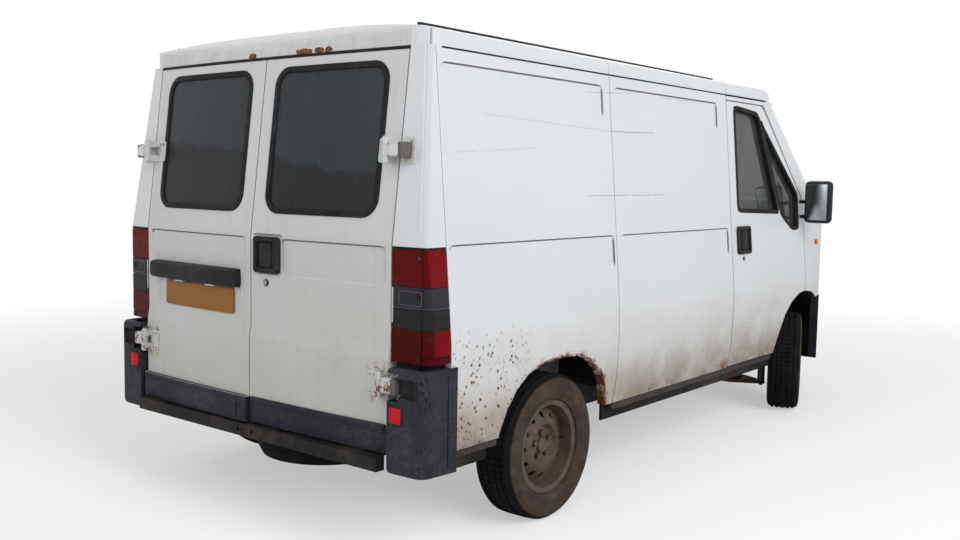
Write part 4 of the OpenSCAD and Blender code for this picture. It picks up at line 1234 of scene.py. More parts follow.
@dataclass
class Studio:
    """Pale floor, soft light and the camera."""

    focal: float = 37.96
    eye: Point = (-5.033, -3.459, 1.503)
    yaw: float = 38.77
    pitch: float = -5.20
    roll: float = 0.99
    sky: float = 0.52
    key: float = 372.0

    def build(self) -> None:
        """Builds the camera, the lights and the floor."""
        self._camera()
        self._sky()
        self._lamp("key_light", (-2.5, -7.5, 5.2), (0.2, -0.4, 1.0), 5.5, self.key)
        self._lamp("rear_light", (-8.0, 1.5, 4.5), (-1.5, 0.0, 1.0), 4.5, self.key * 0.30)
        self._lamp("front_light", (7.0, 4.0, 4.5), (1.0, 0.0, 1.0), 5.0, self.key * 0.45)
        self._floor()

    def _camera(self) -> None:
        """Builds the camera from its eye and its three turns."""
        yaw, pitch, roll = (math.radians(a) for a in (self.yaw, self.pitch, self.roll))
        ahead = Vector((math.cos(yaw) * math.cos(pitch), math.sin(yaw) * math.cos(pitch), math.sin(pitch)))
        side = Vector((math.sin(yaw), -math.cos(yaw), 0.0))
        up = side.cross(ahead)
        side, up = side * math.cos(roll) + up * math.sin(roll), up * math.cos(roll) - side * math.sin(roll)
        data = bpy.data.cameras.new("camera")
        data.lens = self.focal
        data.sensor_width = 36.0
        data.clip_end = 200.0
        camera = bpy.data.objects.new("camera", data)
        turn = Matrix((side, up, -ahead)).transposed().to_4x4()
        camera.matrix_world = Matrix.Translation(self.eye) @ turn
        bpy.context.scene.collection.objects.link(camera)
        bpy.context.scene.camera = camera

    def _sky(self) -> None:
        """White where it is seen or mirrored, and a soft even light elsewhere."""
        world = bpy.data.worlds.new("sky")
        world.use_nodes = True
        tree = world.node_tree
        tree.nodes.clear()
        path = tree.nodes.new("ShaderNodeLightPath")
        seen = tree.nodes.new("ShaderNodeMath")
        seen.operation = "MAXIMUM"
        tree.links.new(path.outputs["Is Camera Ray"], seen.inputs[0])
        clear = tree.nodes.new("ShaderNodeMath")
        clear.operation = "MAXIMUM"
        tree.links.new(path.outputs["Is Transmission Ray"], clear.inputs[0])
        tree.links.new(path.outputs["Is Glossy Ray"], clear.inputs[1])
        tree.links.new(clear.outputs[0], seen.inputs[1])
        light, white, mix = (
            tree.nodes.new(k)
            for k in ("ShaderNodeBackground", "ShaderNodeBackground", "ShaderNodeMixShader"))
        light.inputs["Color"].default_value = (0.93, 0.965, 1.0, 1.0)
        light.inputs["Strength"].default_value = self.sky
        white.inputs["Color"].default_value = (1.0, 1.0, 1.0, 1.0)
        white.inputs["Strength"].default_value = 1.0
        end = tree.nodes.new("ShaderNodeOutputWorld")
        tree.links.new(seen.outputs[0], mix.inputs[0])
        tree.links.new(light.outputs[0], mix.inputs[1])
        tree.links.new(white.outputs[0], mix.inputs[2])
        tree.links.new(mix.outputs[0], end.inputs[0])
        bpy.context.scene.world = world
        bpy.context.scene.view_settings.view_transform = "Standard"

    def _lamp(self, name: str, at: Point, to: Point, size: float, power: float) -> None:
        """Adds one large soft lamp.

        Args:
            name: its name.
            at: where it hangs.
            to: where it points.
            size: its edge length.
            power: its power in watts.
        """
        data = bpy.data.lights.new(name, "AREA")
        data.size = size
        data.energy = power
        lamp = bpy.data.objects.new(name, data)
        turn = (Vector(at) - Vector(to)).to_track_quat("Z", "Y").to_matrix().to_4x4()
        lamp.matrix_world = Matrix.Translation(at) @ turn
        bpy.context.scene.collection.objects.link(lamp)

    def _floor(self) -> None:
        """Builds the pale floor, which keeps the van's shadow."""
        bm = bmesh.new()
        bmesh.ops.create_grid(bm, x_segments=1, y_segments=1, size=60.0)
        data = bpy.data.meshes.new("floor")
        bm.to_mesh(data)
        bm.free()
        g = Graph("studio_floor")
        path = g.node("ShaderNodeLightPath", output="Is Camera Ray")
        diffuse = g.node("ShaderNodeBsdfDiffuse", None, {"Color": (0.88, 0.88, 0.88), "Roughness": 0.9})
        glow = g.node("ShaderNodeEmission", None, {"Color": (1.0, 1.0, 1.0), "Strength": 1.0})
        reach = (g.x * g.x + g.y * g.y) ** 0.5
        lit = g.node("ShaderNodeMixShader", None,
            {0: path * (0.45 + 0.55 * reach.step(3.2, 8.5)), 1: diffuse, 2: glow})
        g.node("ShaderNodeOutputMaterial", None, {0: lit})
        data.materials.append(g.material)
        floor = bpy.data.objects.new("floor", data)
        bpy.context.scene.collection.objects.link(floor)


# ------------------------------------------------------------------- the shell


def on_side_skin(side: int, reach: float = 0.0009) -> Callable[[Vector], tuple[float, float] | None]:
    """Returns a test that gives the place of a point on a side wall's skin."""
    def where(p: Vector) -> tuple[float, float] | None:
        """The place along the van and its height, or None off the skin."""
        return (p.x, p.z) if p.y * side > 0.6 and abs(abs(p.y) - SHAPE.side_y(p.z)) < reach else None
    return where


def on_rear_skin(reach: float = 0.0016) -> Callable[[Vector], tuple[float, float] | None]:
    """Returns a test that gives the place of a point on the rear face's skin."""
    def where(p: Vector) -> tuple[float, float] | None:
        """The place across the van and its height, or None off the skin."""
        return (p.y, p.z) if p.z > 0.5485 and abs(p.x - SHAPE.rear_at(p.y, p.z)) < reach else None
    return where


@dataclass
class Shell:
    """Side walls, sliding door, corners, roof, cab frame and load floor."""

    shop: Workshop
    rear_seam: float = -2.1335
    mid_seam: float = -0.9045
    panel_top: tuple[float, float] = (1.790, 1.942)
    panel_low: tuple[float, float] = (1.090, 1.246)
    waist_lines: tuple[float, ...] = (0.789, 0.825, 0.850, 0.869, 0.889, 0.915)
    panel_depth: float = 0.0065
    top_ends: tuple[tuple[float, float], ...] = ((-2.112, -0.968), (-0.862, 0.225))
    low_ends: tuple[tuple[float, float], ...] = ((-2.120, -0.925), (-0.862, 0.306))
    columns: tuple[float, ...] = (-2.10, -1.9, -1.6, -1.4, -1.2, -1.0, -0.7, -0.4, -0.1, 0.2)
    dents: tuple[tuple[float, ...], ...] = (
        (-1.72, 0.985, 0.34, 0.10, 0.007), (-1.30, 0.93, 0.25, 0.09, 0.006), (-1.03, 0.84, 0.18, 0.11, 0.008),
        (-0.70, 0.76, 0.16, 0.13, 0.006), (-0.35, 0.93, 0.30, 0.08, 0.004), (-1.93, 0.72, 0.14, 0.12, 0.005))

    def build(self) -> None:
        """Builds the shell's pieces."""
        panels: list[Feature] = [
            Pressing((start, level[0]), (end, level[1]), self.panel_depth)
            for level, ends in ((self.panel_top, self.top_ends), (self.panel_low, self.low_ends))
            for start, end in ends]
        sliding: list[Feature] = [
            Pressing((-0.84, self.panel_top[0]), (0.225, self.panel_top[1] - 0.02), self.panel_depth),
            Pressing((-0.84, self.panel_low[0]), (0.280, self.panel_low[1]), self.panel_depth)]
        worn: list[Feature] = [Swell(*place) for place in self.dents]
        worn.append(Groove(True, self.mid_seam, 0.41, 1.999, 0.007, 0.010))
        self._wall("right_side_wall", "side_right", Side.RIGHT, panels, worn)
        self._wall("left_side_wall", "side_left", Side.LEFT, [panels[0], panels[2]], [])
        self._wall("sliding_door_skin", "sliding_door", Side.LEFT, sliding, [])
        corners = self.shop.copy("rear_corners", "rear_frame", "body_paint")
        for at in (0.762, 0.8030):
            divide(corners.bm, 2, at)
        corners.paint_where(lambda p: 0.762 < p.z < 0.803 and abs(p.y) > 0.80 and p.x < -2.08, "rubber_seal")
        corners.paint_where(lambda p: abs(p.y) < 0.78 and p.z < 0.50, "underseal")
        corners.place("body", "rear_frame", smooth=42.0)
        roof = self.shop.copy("roof_skin", "roof", "body_paint")
        joints = [
            Groove(True, at, 1.990, 2.088, 0.0075, 0.006) for at in (self.rear_seam, self.mid_seam, 0.346)]
        for side in (Side.RIGHT, Side.LEFT):
            roof.press(joints, lambda p, side=side: (p.x, p.z) if p.y * side > 0.78 else None,
                Vector((0, -side, 0)), (0, 2))
        # the joint grooves' faces get the darker finish: painted shade in the seams
        for groove in joints:
            roof.paint_where(
                lambda p, at=groove.at: abs(p.x - at) < 0.0026 and abs(p.y) > 0.78 and p.z < 2.088,
                "painted_edge_shade")
        roof.place("body", "roof")
        self.shop.copy("cab_posts", "cab_frame", "body_paint").place("body", "cab_frame")
        self._floor()

    def _wall(self, name: str, node: str, side: Side, panels: list[Feature], worn: list[Feature]) -> None:
        """Presses a side's panels and dents into a copy of its sheet.

        Args:
            name: the new piece's name.
            node: the node it is copied from and stands for.
            side: the side it is on.
            panels: its pressed panels, whose edges also get painted shade.
            worn: its dents and seams.
        """
        levels = [SHAPE.sill + 0.15, *self.waist_lines, 1.30, 1.5, 1.7]
        skin = self.shop.copy(name, node, "body_paint")
        skin.press(panels + worn, on_side_skin(side), Vector((0, -side, 0)), (0, 2),
            (list(self.columns), levels))
        # the pressings' lower and rear-facing edges get painted shade
        skin.grime_and_edge_shade(panels, (0, 2), Vector((0, side, 0)), Vector((-1, 0, 0)))
        skin.place("body", node)

    def _floor(self) -> None:
        """Builds the load floor and its wheel boxes, sealed black underneath."""
        pan = self.shop.copy("floor_pressing", "load_floor", "inner_steel")
        pan.bm.normal_update()
        middle = Vector((-1.4075, 0.0, 0.325))
        dark = pan.finish_index("underseal")
        for face in pan.bm.faces:
            to_wheel = middle - face.calc_center_median()
            to_wheel.y = 0.0
            near = to_wheel.length < 0.62 and abs(face.calc_center_median().y) > 0.55
            if face.normal.z < -0.5 or (near and face.normal.dot(to_wheel) > 0.0):
                face.material_index = dark
        pan.place("body", "load_floor")


# ------------------------------------------------------------------ rear doors


@dataclass
class RearDoors:
    """Both rear doors with their windows, seals, handle, hinges and plate."""

    shop: Workshop
    window: tuple[float, float, float, float] = (0.074, 1.340, 0.718, 1.951)
    window_corner: float = 0.083
    seal: float = 0.026
    foot_low: float = 0.437
    foot_top: float = 0.549
    pin_x: float = -2.3052
    pin_y: float = 0.778
    pin_tilt: float = 1.9
    hinge_levels: tuple[float, float] = (0.708, 1.602)

    def build(self) -> None:
        """Builds both doors."""
        for side, word in ((Side.RIGHT, "right"), (Side.LEFT, "left")):
            self._door(side, word)
            self._window(side, word)
            self._hinges(side, word)
            self._foot(side, word)
        self._handle()
        self._plate()

    def _door(self, side: int, word: str) -> None:
        """Builds a door's sheet with its pressings and its swelled foot."""
        panel = (0.190, 0.774) if side == Side.RIGHT else (0.034, 0.774)
        across = sorted((side * panel[0], side * panel[1]))
        features: list[Feature] = [
            Pressing((across[0], 1.082), (across[1], 1.238), 0.0065),
            Crease(((0.5485, -0.010), (0.795, -0.010), (0.868, 0.0))),
        ]
        if side == Side.LEFT:
            features.append(Pressing((0.070, 0.886), (0.712, 1.020), 0.006, 0.020, 0.012))
        else:
            features.append(Pressing((-0.205, 1.078), (-0.012, 1.256), 0.004, 0.02, 0.01))
        door = self.shop.copy(f"{word}_rear_door_skin", f"rear_door_{word}", "body_paint")
        columns = [side * k * 0.1 for k in range(1, 9)]
        door.press(features, on_rear_skin(), Vector((1, 0, 0)), (1, 2),
            (columns, [0.62, 0.70, 1.30, 1.5, 1.7, 1.9]))
        for vert in door.bm.verts:
            proud = SHAPE.rear_at(abs(vert.co.y), vert.co.z) - vert.co.x
            if proud > 0.012 and abs(vert.co.y) < 0.760 and any(
                    abs(vert.co.z - level) < 0.065 for level in self.hinge_levels):
                vert.co.x += proud - 0.008
        door.bm.normal_update()
        # the pressings' lower edges and those facing +Y get painted shade
        door.grime_and_edge_shade(features, (1, 2), Vector((-1, 0, 0)), Vector((0, 1, 0)))
        door.paint_where(lambda p: p.z < self.foot_top - 0.004, "grey_plastic")
        door.place(f"rear_door_{word}", f"rear_door_{word}")

    def _window(self, side: int, word: str) -> None:
        """Builds a window's pane and the rubber round it."""
        u0, v0, u1, v1 = self.window
        corners = rectangle(*sorted((side * u0, side * u1))[:1], v0, max(side * u0, side * u1), v1)
        seal = self.shop.piece(f"{word}_rear_window_seal", "rubber_seal")
        seal.slab(corners, -0.016, 0.005, SHAPE.on_rear(), self.window_corner, 0.004, 0.06, self.seal,
            segments=8)
        seal.place(f"rear_door_{word}")
        pane = self.shop.piece(f"{word}_rear_window_pane", "dark_glass")
        inner = [
            (u + (0.012 if u == corners[0][0] else -0.012), v + (0.012 if v == v0 else -0.012))
            for u, v in corners]
        pane.slab(inner, -0.010, -0.003, SHAPE.on_rear(), self.window_corner - 0.012, 0.0, 0.06, segments=8)
        pane.place(f"rear_door_{word}", f"rear_glass_{word}")

    def _pin(self, side: int, level: float) -> Matrix:
        """Place of a hinge pin, with its own Z along the pin."""
        tilt = math.radians(self.pin_tilt)
        at = (self.pin_x + (level - self.hinge_levels[0]) * math.tan(tilt), side * self.pin_y, level)
        return Matrix.Translation(at) @ Matrix.Rotation(tilt, 4, "Y")

    def _hinges(self, side: int, word: str) -> None:
        """Builds the strap plates and their bolts, on the door and on the corner."""
        for level, name in zip(self.hinge_levels, ("lower", "upper")):
            place = self._pin(side, level)
            skin = SHAPE.rear_at(self.pin_y, level)
            lift = 0.010 if name == "lower" else 0.0
            strap = self.shop.piece(f"{word}_{name}_hinge_strap", "pan_white")
            out = side * (self.pin_y + 0.004)
            for low, high in ((-0.052, -0.016), (0.016, 0.052)):
                made = strap.rod((0, 0, low), (0, 0, high), 0.0115, segments=20, round_=0.002)
                bmesh.ops.transform(strap.bm, matrix=place, verts=made)
            flat = skin - lift
            plate = sorted((side * 0.700, side * 0.764))
            strap.slab(rectangle(plate[0], level - 0.047, plate[1], level + 0.047), lift - 0.002,
                lift + 0.006, SHAPE.on_rear(), 0.010, 0.002)
            for low, high in ((-0.046, -0.020), (0.020, 0.046)):
                strap.box((place.translation.x - 0.005, min(side * 0.762, out), level + low * 0.85),
                          (flat + 0.002, max(side * 0.762, out), level + high * 0.85), 0.003)
            for du in (0.714, 0.737):
                for dv in (-0.034, 0.034):
                    head = Vector((SHAPE.rear_at(du, level) - lift - 0.005, side * du, level + dv))
                    strap.rod(head, head - Vector((0.0035, 0, 0)), 0.0070, "zinc", 16, round_=0.0015)
                    # a black hexagon on each head stands for its socket: painted shade
                    strap.rod(head, head - Vector((0.0040, 0, 0)), 0.0025, "rubber_seal", 6)
            strap.place(f"rear_door_{word}")
            pin = self.shop.piece(f"{word}_{name}_hinge_seat", "pan_white")
            made = pin.rod((0, 0, -0.0145), (0, 0, 0.0145), 0.0115, segments=20, round_=0.002)
            bmesh.ops.transform(pin.bm, matrix=place, verts=made)
            ends = sorted((side * (self.pin_y + 0.002), side * 0.842))
            pin.box((place.translation.x - 0.007, ends[0], level - 0.0145),
                (place.translation.x + 0.006, ends[1], level + 0.0145), 0.003)
            face = SHAPE.rear_at(0.82, level) + (0.030 if name == "lower" else 0.0)
            ends = sorted((side * 0.7945, side * 0.840))
            pin.box((place.translation.x - 0.005, ends[0], level - 0.026),
                (face + 0.006, ends[1], level + 0.034), 0.006)
            ends = sorted((side * 0.838, side * 0.864))
            pin.box((place.translation.x - 0.001, ends[0], level - 0.031),
                (face + 0.006, ends[1], level + 0.031), 0.007, "brake_steel")
            if name == "upper":
                base = sorted((side * 0.812, side * 0.878))
                pin.slab(rectangle(base[0], level - 0.052, base[1], level + 0.052), -0.002, 0.006,
                    SHAPE.on_rear(), 0.012, 0.002)
                for dv in (-0.040, 0.040):
                    head = Vector((SHAPE.rear_at(0.862, level) - 0.005, side * 0.862, level + dv))
                    pin.rod(head, head - Vector((0.0035, 0, 0)), 0.0065, "zinc", 16, round_=0.0015)
            pin.place("body")

    def _foot(self, side: int, word: str) -> None:
        """Builds the moulded foot of a door, a step on the left one."""
        reach = 0.030 if side == Side.LEFT else 0.014
        ends = sorted((side * 0.004, side * 0.799))
        foot = self.shop.piece(f"{word}_rear_door_foot", "grey_plastic")
        if side == Side.LEFT:
            foot.slab(rectangle(ends[0], self.foot_low, ends[1], self.foot_top), -0.002, reach,
                SHAPE.on_rear(), 0.006, 0.006, 0.07)
            foot.slab(
                rectangle(ends[0] + 0.06, self.foot_low + 0.012, ends[1] - 0.02, self.foot_top - 0.020),
                reach - 0.001, reach + 0.006, SHAPE.on_rear(), 0.012, 0.004, 0.07)
        else:
            foot.slab(rectangle(ends[0], self.foot_low, ends[1], self.foot_top), -0.002, reach,
                SHAPE.on_rear(), 0.006, 0.008, 0.07)
            foot.slab(
                rectangle(ends[0] + 0.01, self.foot_top - 0.020, ends[1] - 0.01, self.foot_top + 0.003),
                reach - 0.004, reach + 0.005, SHAPE.on_rear(), 0.004, 0.003, 0.07)
        foot.place(f"rear_door_{word}")

    def _handle(self) -> None:
        """Builds the right door's pull handle and its lock."""
        skin = SHAPE.on_rear()
        grip = self.shop.piece("rear_door_handle", "black_plastic")
        grip.slab(rectangle(-0.190, 1.088, -0.026, 1.243), 0.0, 0.012, skin, 0.018, 0.005, 0.06, 0.022)
        grip.slab(rectangle(-0.172, 1.106, -0.044, 1.226), -0.004, 0.002, skin, 0.004, 0.001, 0.08)
        grip.slab(rectangle(-0.140, 1.112, -0.066, 1.218), 0.001, 0.010, skin, 0.006, 0.003, 0.08,
            taper=0.002)
        grip.slab(rectangle(-0.160, 1.110, -0.143, 1.220), 0.001, 0.005, skin, 0.003, 0.002, 0.08)
        grip.place("rear_door_right")
        lock = self.shop.piece("rear_door_lock", "black_plastic")
        at = Vector((SHAPE.rear_at(-0.102, 1.048), -0.102, 1.048))
        lock.rod(at + Vector((0.003, 0, 0)), at - Vector((0.006, 0, 0)), 0.0145, None, 28, round_=0.003)
        lock.rod(at - Vector((0.004, 0, 0)), at - Vector((0.0075, 0, 0)), 0.009, "zinc", 24, round_=0.001)
        # the keyhole is a black slot on the cylinder: painted shade
        lock.box(at - Vector((0.0085, 0.001, 0.005)), at - Vector((0.006, -0.001, -0.005)), 0.0,
            "rubber_seal")
        lock.place("rear_door_right")

    def _plate(self) -> None:
        """Builds the left door's lamp bar and its blank plate."""
        skin = SHAPE.on_rear()
        bar = self.shop.piece("plate_lamp_bar", "black_plastic")
        bar.slab(rectangle(0.068, 1.012, 0.745, 1.094), -0.002, 0.036, skin, 0.020, 0.016, 0.08, taper=0.003)
        for v in (0.26, 0.50):
            bar.slab(rectangle(v - 0.030, 1.0085, v + 0.030, 1.014), 0.008, 0.028, skin, 0.002, 0.001, 0.08,
                finish="clear_lens")
        bar.place("rear_door_left")
        plate = self.shop.piece("number_plate_blank", "plate_sheet")
        plate.slab(rectangle(0.118, 0.895, 0.640, 1.006), -0.003, 0.004, skin, 0.012, 0.0015, 0.12)
        plate.place("rear_door_left")


# ----------------------------------------------------------------- front doors


@dataclass
class FrontDoors:
    """Both front doors with their glass, seals, handles and mirrors."""

    shop: Workshop
    drop: tuple[tuple[float, float], ...] = ((0.4405, 1.338), (1.0365, 1.318), (0.7815, 1.912),
        (0.4405, 1.938))
    quarter: tuple[tuple[float, float], ...] = ((1.0645, 1.308), (1.2295, 1.212), (1.3355, 1.215),
        (1.3355, 1.436), (0.8095, 1.880))

    def build(self) -> None:
        """Builds both doors."""
        for side, word in ((Side.RIGHT, "right"), (Side.LEFT, "left")):
            self._door(side, word)
            self._glass(side, word)
            self._handle(side, word)
            self._mirror(side, word)

    def _door(self, side: int, word: str) -> None:
        """Builds a door's sheet."""
        door = self.shop.copy(f"{word}_front_door_skin", f"front_door_{word}", "body_paint")
        levels = [SHAPE.sill + 0.15, 0.789, 0.825, 0.850, 0.889, 0.915, 1.1, 1.3]
        dents: list[Feature] = [Swell(0.52, 0.74, 0.11, 0.13, 0.006),
            Swell(0.95, 0.70, 0.2, 0.1, 0.004)] if side == Side.RIGHT else []
        door.press(dents, on_side_skin(side), Vector((0, -side, 0)), (0, 2),
            ([0.4, 0.6, 0.8, 1.0, 1.2, 1.38], levels))
        door.place(f"front_door_{word}", f"front_door_{word}")

    def _glass(self, side: int, word: str) -> None:
        """Builds the two panes and the rubber frames round them."""
        skin = SHAPE.on_side(side)
        pane = self.shop.piece(f"{word}_front_door_glass", "side_glass")
        frame = self.shop.piece(f"{word}_front_door_seals", "rubber_seal")
        for outline, corner in ((self.drop, 0.040), (self.quarter, 0.025)):
            pane.slab(outline, -0.0285, -0.0245, skin, corner, 0.0, 0.3)
            middle = Vector((sum(u for u, _ in outline), sum(v for _, v in outline))) / len(outline)
            grown = []
            for u, v in outline:
                away = Vector((u, v)) - middle
                away.normalize()
                grown.append((u + away.x * 0.010, v + away.y * 0.010))
            frame.slab(grown, -0.030, 0.003, skin, corner + 0.008, 0.003, 0.3, 0.024)
        pane.place(f"front_door_{word}", f"door_glass_{word}")
        frame.place(f"front_door_{word}")

    def _handle(self, side: int, word: str) -> None:
        """Builds a door's pull handle and lock."""
        skin = SHAPE.on_side(side)
        grip = self.shop.piece(f"{word}_front_door_handle", "black_plastic")
        grip.slab(rectangle(0.412, 1.090, 0.592, 1.250), 0.0, 0.011, skin, 0.018, 0.005, 0.2, 0.020)
        grip.slab(rectangle(0.428, 1.106, 0.576, 1.234), -0.004, 0.002, skin, 0.004, 0.001, 0.2)
        grip.slab(rectangle(0.470, 1.112, 0.548, 1.228), 0.001, 0.009, skin, 0.006, 0.003, 0.2, taper=0.002)
        grip.slab(rectangle(0.440, 1.112, 0.458, 1.228), 0.001, 0.005, skin, 0.003, 0.002, 0.2)
        at = skin(Vector((0.496, 0.0, 1.063)))
        out = Vector((0, side, 0))
        grip.rod(at - out * 0.003, at + out * 0.006, 0.0125, None, 28, round_=0.003)
        grip.rod(at + out * 0.004, at + out * 0.0075, 0.008, "zinc", 24, round_=0.001)
        grip.place(f"front_door_{word}")

    def _mirror(self, side: int, word: str) -> None:
        """Builds a mirror: rounded housing, glass that faces back, and two arms."""
        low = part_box(f"mirror_{word}")[0]
        inner, outer = 1.004, 1.175
        shell = self.shop.piece(f"{word}_mirror_housing", "grey_plastic")
        ends = sorted((side * inner, side * outer))
        shell.box((low.x + 0.012, ends[0], 1.252), (1.3825, ends[1], 1.520), 0.030, segments=4)
        shell.box((low.x + 0.001, ends[0] + 0.004, 1.256), (low.x + 0.050, ends[1] - 0.004, 1.516), 0.022,
            segments=3, finish="black_plastic")
        glass = self.shop.piece(f"{word}_mirror_glass", "mirror_face")
        glass.box((low.x + 0.0002, ends[0] + 0.018, 1.272), (low.x + 0.004, ends[1] - 0.018, 1.500), 0.0015)
        glass.place(f"front_door_{word}")
        for level in (1.290, 1.385):
            root = SHAPE.side_y(level) + 0.0005
            shell.rod((1.3835, side * (root - 0.004), level), (1.366, side * (inner + 0.03), level), 0.0115,
                "black_plastic", 20, round_=0.002)
            shell.rod((1.3835, side * (root - 0.002), level), (1.3835, side * (root + 0.006), level),
                0.0115, "black_plastic", 24, round_=0.002)
        shell.place(f"front_door_{word}", f"mirror_{word}")


# ---------------------------------------------------------------- front of the van


@dataclass
class Front:
    """Wings, bonnet, headlamps, windscreen, wipers and side repeaters."""

    shop: Workshop
    screen_top: tuple[float, float] = (1.0245, 1.998)
    screen_foot: tuple[float, float] = (1.7315, 1.394)

    def wrap(self, y: float) -> float:
        """How far the windscreen stands back at a place in its width."""
        return 0.062 * (abs(y) / 0.930) ** 6

    def on_screen(self) -> Callable[[Vector], Vector]:
        """Maps (across, out, down the slope) onto the windscreen."""
        top = Vector((self.screen_top[0], 0.0, self.screen_top[1]))
        slope = Vector((self.screen_foot[0], 0.0, self.screen_foot[1])) - top
        slope.normalize()
        out = Vector((-slope.z, 0.0, slope.x))
        return lambda p: top + slope * p.z + out * (p.y - 0.003 - self.wrap(p.x)) + Vector((0.0, p.x, 0.0))

    def build(self) -> None:
        """Builds the front's pieces."""
        wings = self.shop.copy("front_wing_skins", "front_wings", "body_paint", 1.0)
        wings.place("body", "front_wings")
        self.shop.copy("bonnet_skin", "bonnet", "body_paint", 1.0).place("bonnet", "bonnet")
        self._repeaters()
        self._screen()
        self._wipers()
        lamps = self.shop.copy("headlamp_lenses", "headlamps", "clear_lens", 1.0)
        divide(lamps.bm, 1, 0.735)
        divide(lamps.bm, 1, -0.735)
        lamps.paint_where(lambda p: abs(p.y) > 0.735, "amber_lens")
        lamps.place("body", "headlamps")

    def _repeaters(self) -> None:
        """Builds the amber lamp on each wing."""
        wing = self.shop.copy("repeater_base", "front_wings", "body_paint", 1.0)
        lamp = self.shop.piece("side_repeaters", "amber_lens")
        for side in (Side.RIGHT, Side.LEFT):
            at, normal = wing.spot((1.634, side * 0.98, 1.118))
            skin = on_patch(at, normal)
            lamp.slab(rectangle(-0.023, -0.015, 0.023, 0.015), -0.001, 0.002, skin, 0.006, 0.001,
                finish="black_plastic")
            lamp.slab(rectangle(-0.020, -0.012, 0.020, 0.012), 0.001, 0.008, skin, 0.005, 0.004)
        wing.bm.free()
        lamp.place("body")

    def _screen(self) -> None:
        """Builds the windscreen's rubber and leaves its glass as the CAD has it."""
        self.shop.paint("windscreen", "clear_glass")
        seal = self.shop.piece("windscreen_seal", "rubber_seal")
        widths = (-1.0, -0.95, -0.88, -0.78, -0.65, -0.4, 0.0, 0.4, 0.65, 0.78, 0.88, 0.95, 1.0)
        slope, rise = 0.6495, 0.7603
        upper = [(0.820 * t, (0.0085 - rise * self.wrap(0.820 * t)) / slope) for t in widths]
        lower = [(0.874 * t, (0.6000 - rise * self.wrap(0.874 * t)) / slope) for t in reversed(widths)]
        seal.slab(upper + lower, -0.002, 0.002, self.on_screen(), 0.0, 0.0, 0.08, 0.034)
        seal.place("body")

    def _wipers(self) -> None:
        """Builds two wipers lying on the glass."""
        skin = self.on_screen()
        for word, foot, tip in (("right", -0.52, 0.06), ("left", 0.12, 0.70)):
            wiper = self.shop.piece(f"{word}_wiper", "black_plastic")
            start, end = skin(Vector((foot, 0.012, 0.915))), skin(Vector((tip - 0.16, 0.016, 0.800)))
            wiper.rod(start, end, 0.007, None, 12, 0.0045, 0.001)
            wiper.rod(skin(Vector((foot, 0.002, 0.915))), skin(Vector((foot, 0.022, 0.915))), 0.017, None,
                24, round_=0.003)
            blade = skin(Vector((tip - 0.43, 0.009, 0.872))), skin(Vector((tip, 0.009, 0.745)))
            wiper.rod(*blade, 0.0055, None, 8)
            for t in (0.25, 0.5, 0.75):
                at = blade[0].lerp(blade[1], t)
                wiper.box(at - Vector((0.006, 0.022, 0.001)), at + Vector((0.006, 0.022, 0.007)), 0.002)
            wiper.place("body")


# -------------------------------------------------------------------- tail lamps


@dataclass
class TailLamps:
    """Corner lamps in red and smoked bands, with screws, joints and a bulb hole."""

    shop: Workshop
    bands: tuple[tuple[float, str], ...] = ((1.232, "rubber_seal"), (1.090, "red_lens"),
        (1.010, "smoke_lens"), (0.930, "smoke_dark"), (0.828, "red_lens"), (0.0, "red_dark"),)
    corner_x: float = -2.222

    def build(self) -> None:
        """Builds the lamps of both corners."""
        lamp = self.shop.copy("tail_lamp_lenses", "tail_lamps", "red_lens", 1.0)
        joints = [top for top, _ in self.bands if top > 0.8]
        for at in joints:
            for step in (-0.0035, -0.0015, 0.0015, 0.0035):
                divide(lamp.bm, 2, at + step)
        lamp.bm.normal_update()
        for vert in lamp.bm.verts:
            near = min(abs(vert.co.z - at) for at in joints)
            if near < 0.002 and 0.81 < vert.co.z < 1.236:
                vert.co -= vert.normal * 0.0028
        top = 9.0
        for low, finish in self.bands:
            lamp.paint_where(lambda p, low=low, top=top: low < p.z < top, finish)
            top = low
        lamp.paint_where(lambda p: min(abs(p.z - at) for at in joints) < 0.002 and p.z > 0.81, "rubber_seal")
        # the rear-facing part of both red bands gets darker copies of the red lens: painted shade
        for low, high, finish in ((0.828, 0.928, "red_dark"), (1.092, 1.230, "red_mid")):
            lamp.paint_where(lambda p, low=low, high=high: p.x < self.corner_x and low < p.z < high, finish)
        lamp.paint_where(lambda p: abs(p.z - 1.010) < 0.002, "lens_frame")
        self._screws(lamp)
        lamp.place("body", "tail_lamps", smooth=38.0)

    def _screws(self, lamp: Piece) -> None:
        """Adds the screw wells and the bulb hole, their hollows drawn as black discs for painted shade, and
        the sealant beside the smoked band.
        """
        for side in (Side.RIGHT, Side.LEFT):
            at, normal = lamp.spot((-2.27, side * 0.895, 1.047))
            skin = on_patch(at, normal)
            lamp.slab(rectangle(-0.055, -0.028, 0.055, 0.028), -0.001, 0.0009, skin, 0.008, 0.0004, 0.06,
                0.0035, finish="lens_frame")
            wells = [(0.937, 1.200, 0.0095), (0.934, 1.055, 0.0150), (0.936, 0.8165, 0.0085)]
            for y, z, radius in wells:
                at, normal = lamp.spot((-2.27, side * y, z))
                # black disc for the well's hollow: painted shade
                lamp.rod(at - normal * 0.002, at + normal * 0.0012, radius, "rubber_seal", 24, round_=0.0008)
                lamp.rod(at - normal * 0.001, at + normal * 0.0018, radius * 0.42,
                    "red_dark" if z < 1.1 else "lens_frame", 16, round_=0.0006)
        for side in (Side.RIGHT, Side.LEFT):
            ends = sorted((side * 0.8065, side * 0.812))
            lamp.slab(rectangle(ends[0], 0.95, ends[1], 1.085), -0.002, 0.003, SHAPE.on_rear(), 0.002,
                0.001, 0.06, finish="pan_white")


# ----------------------------------------------------------------------- bumpers


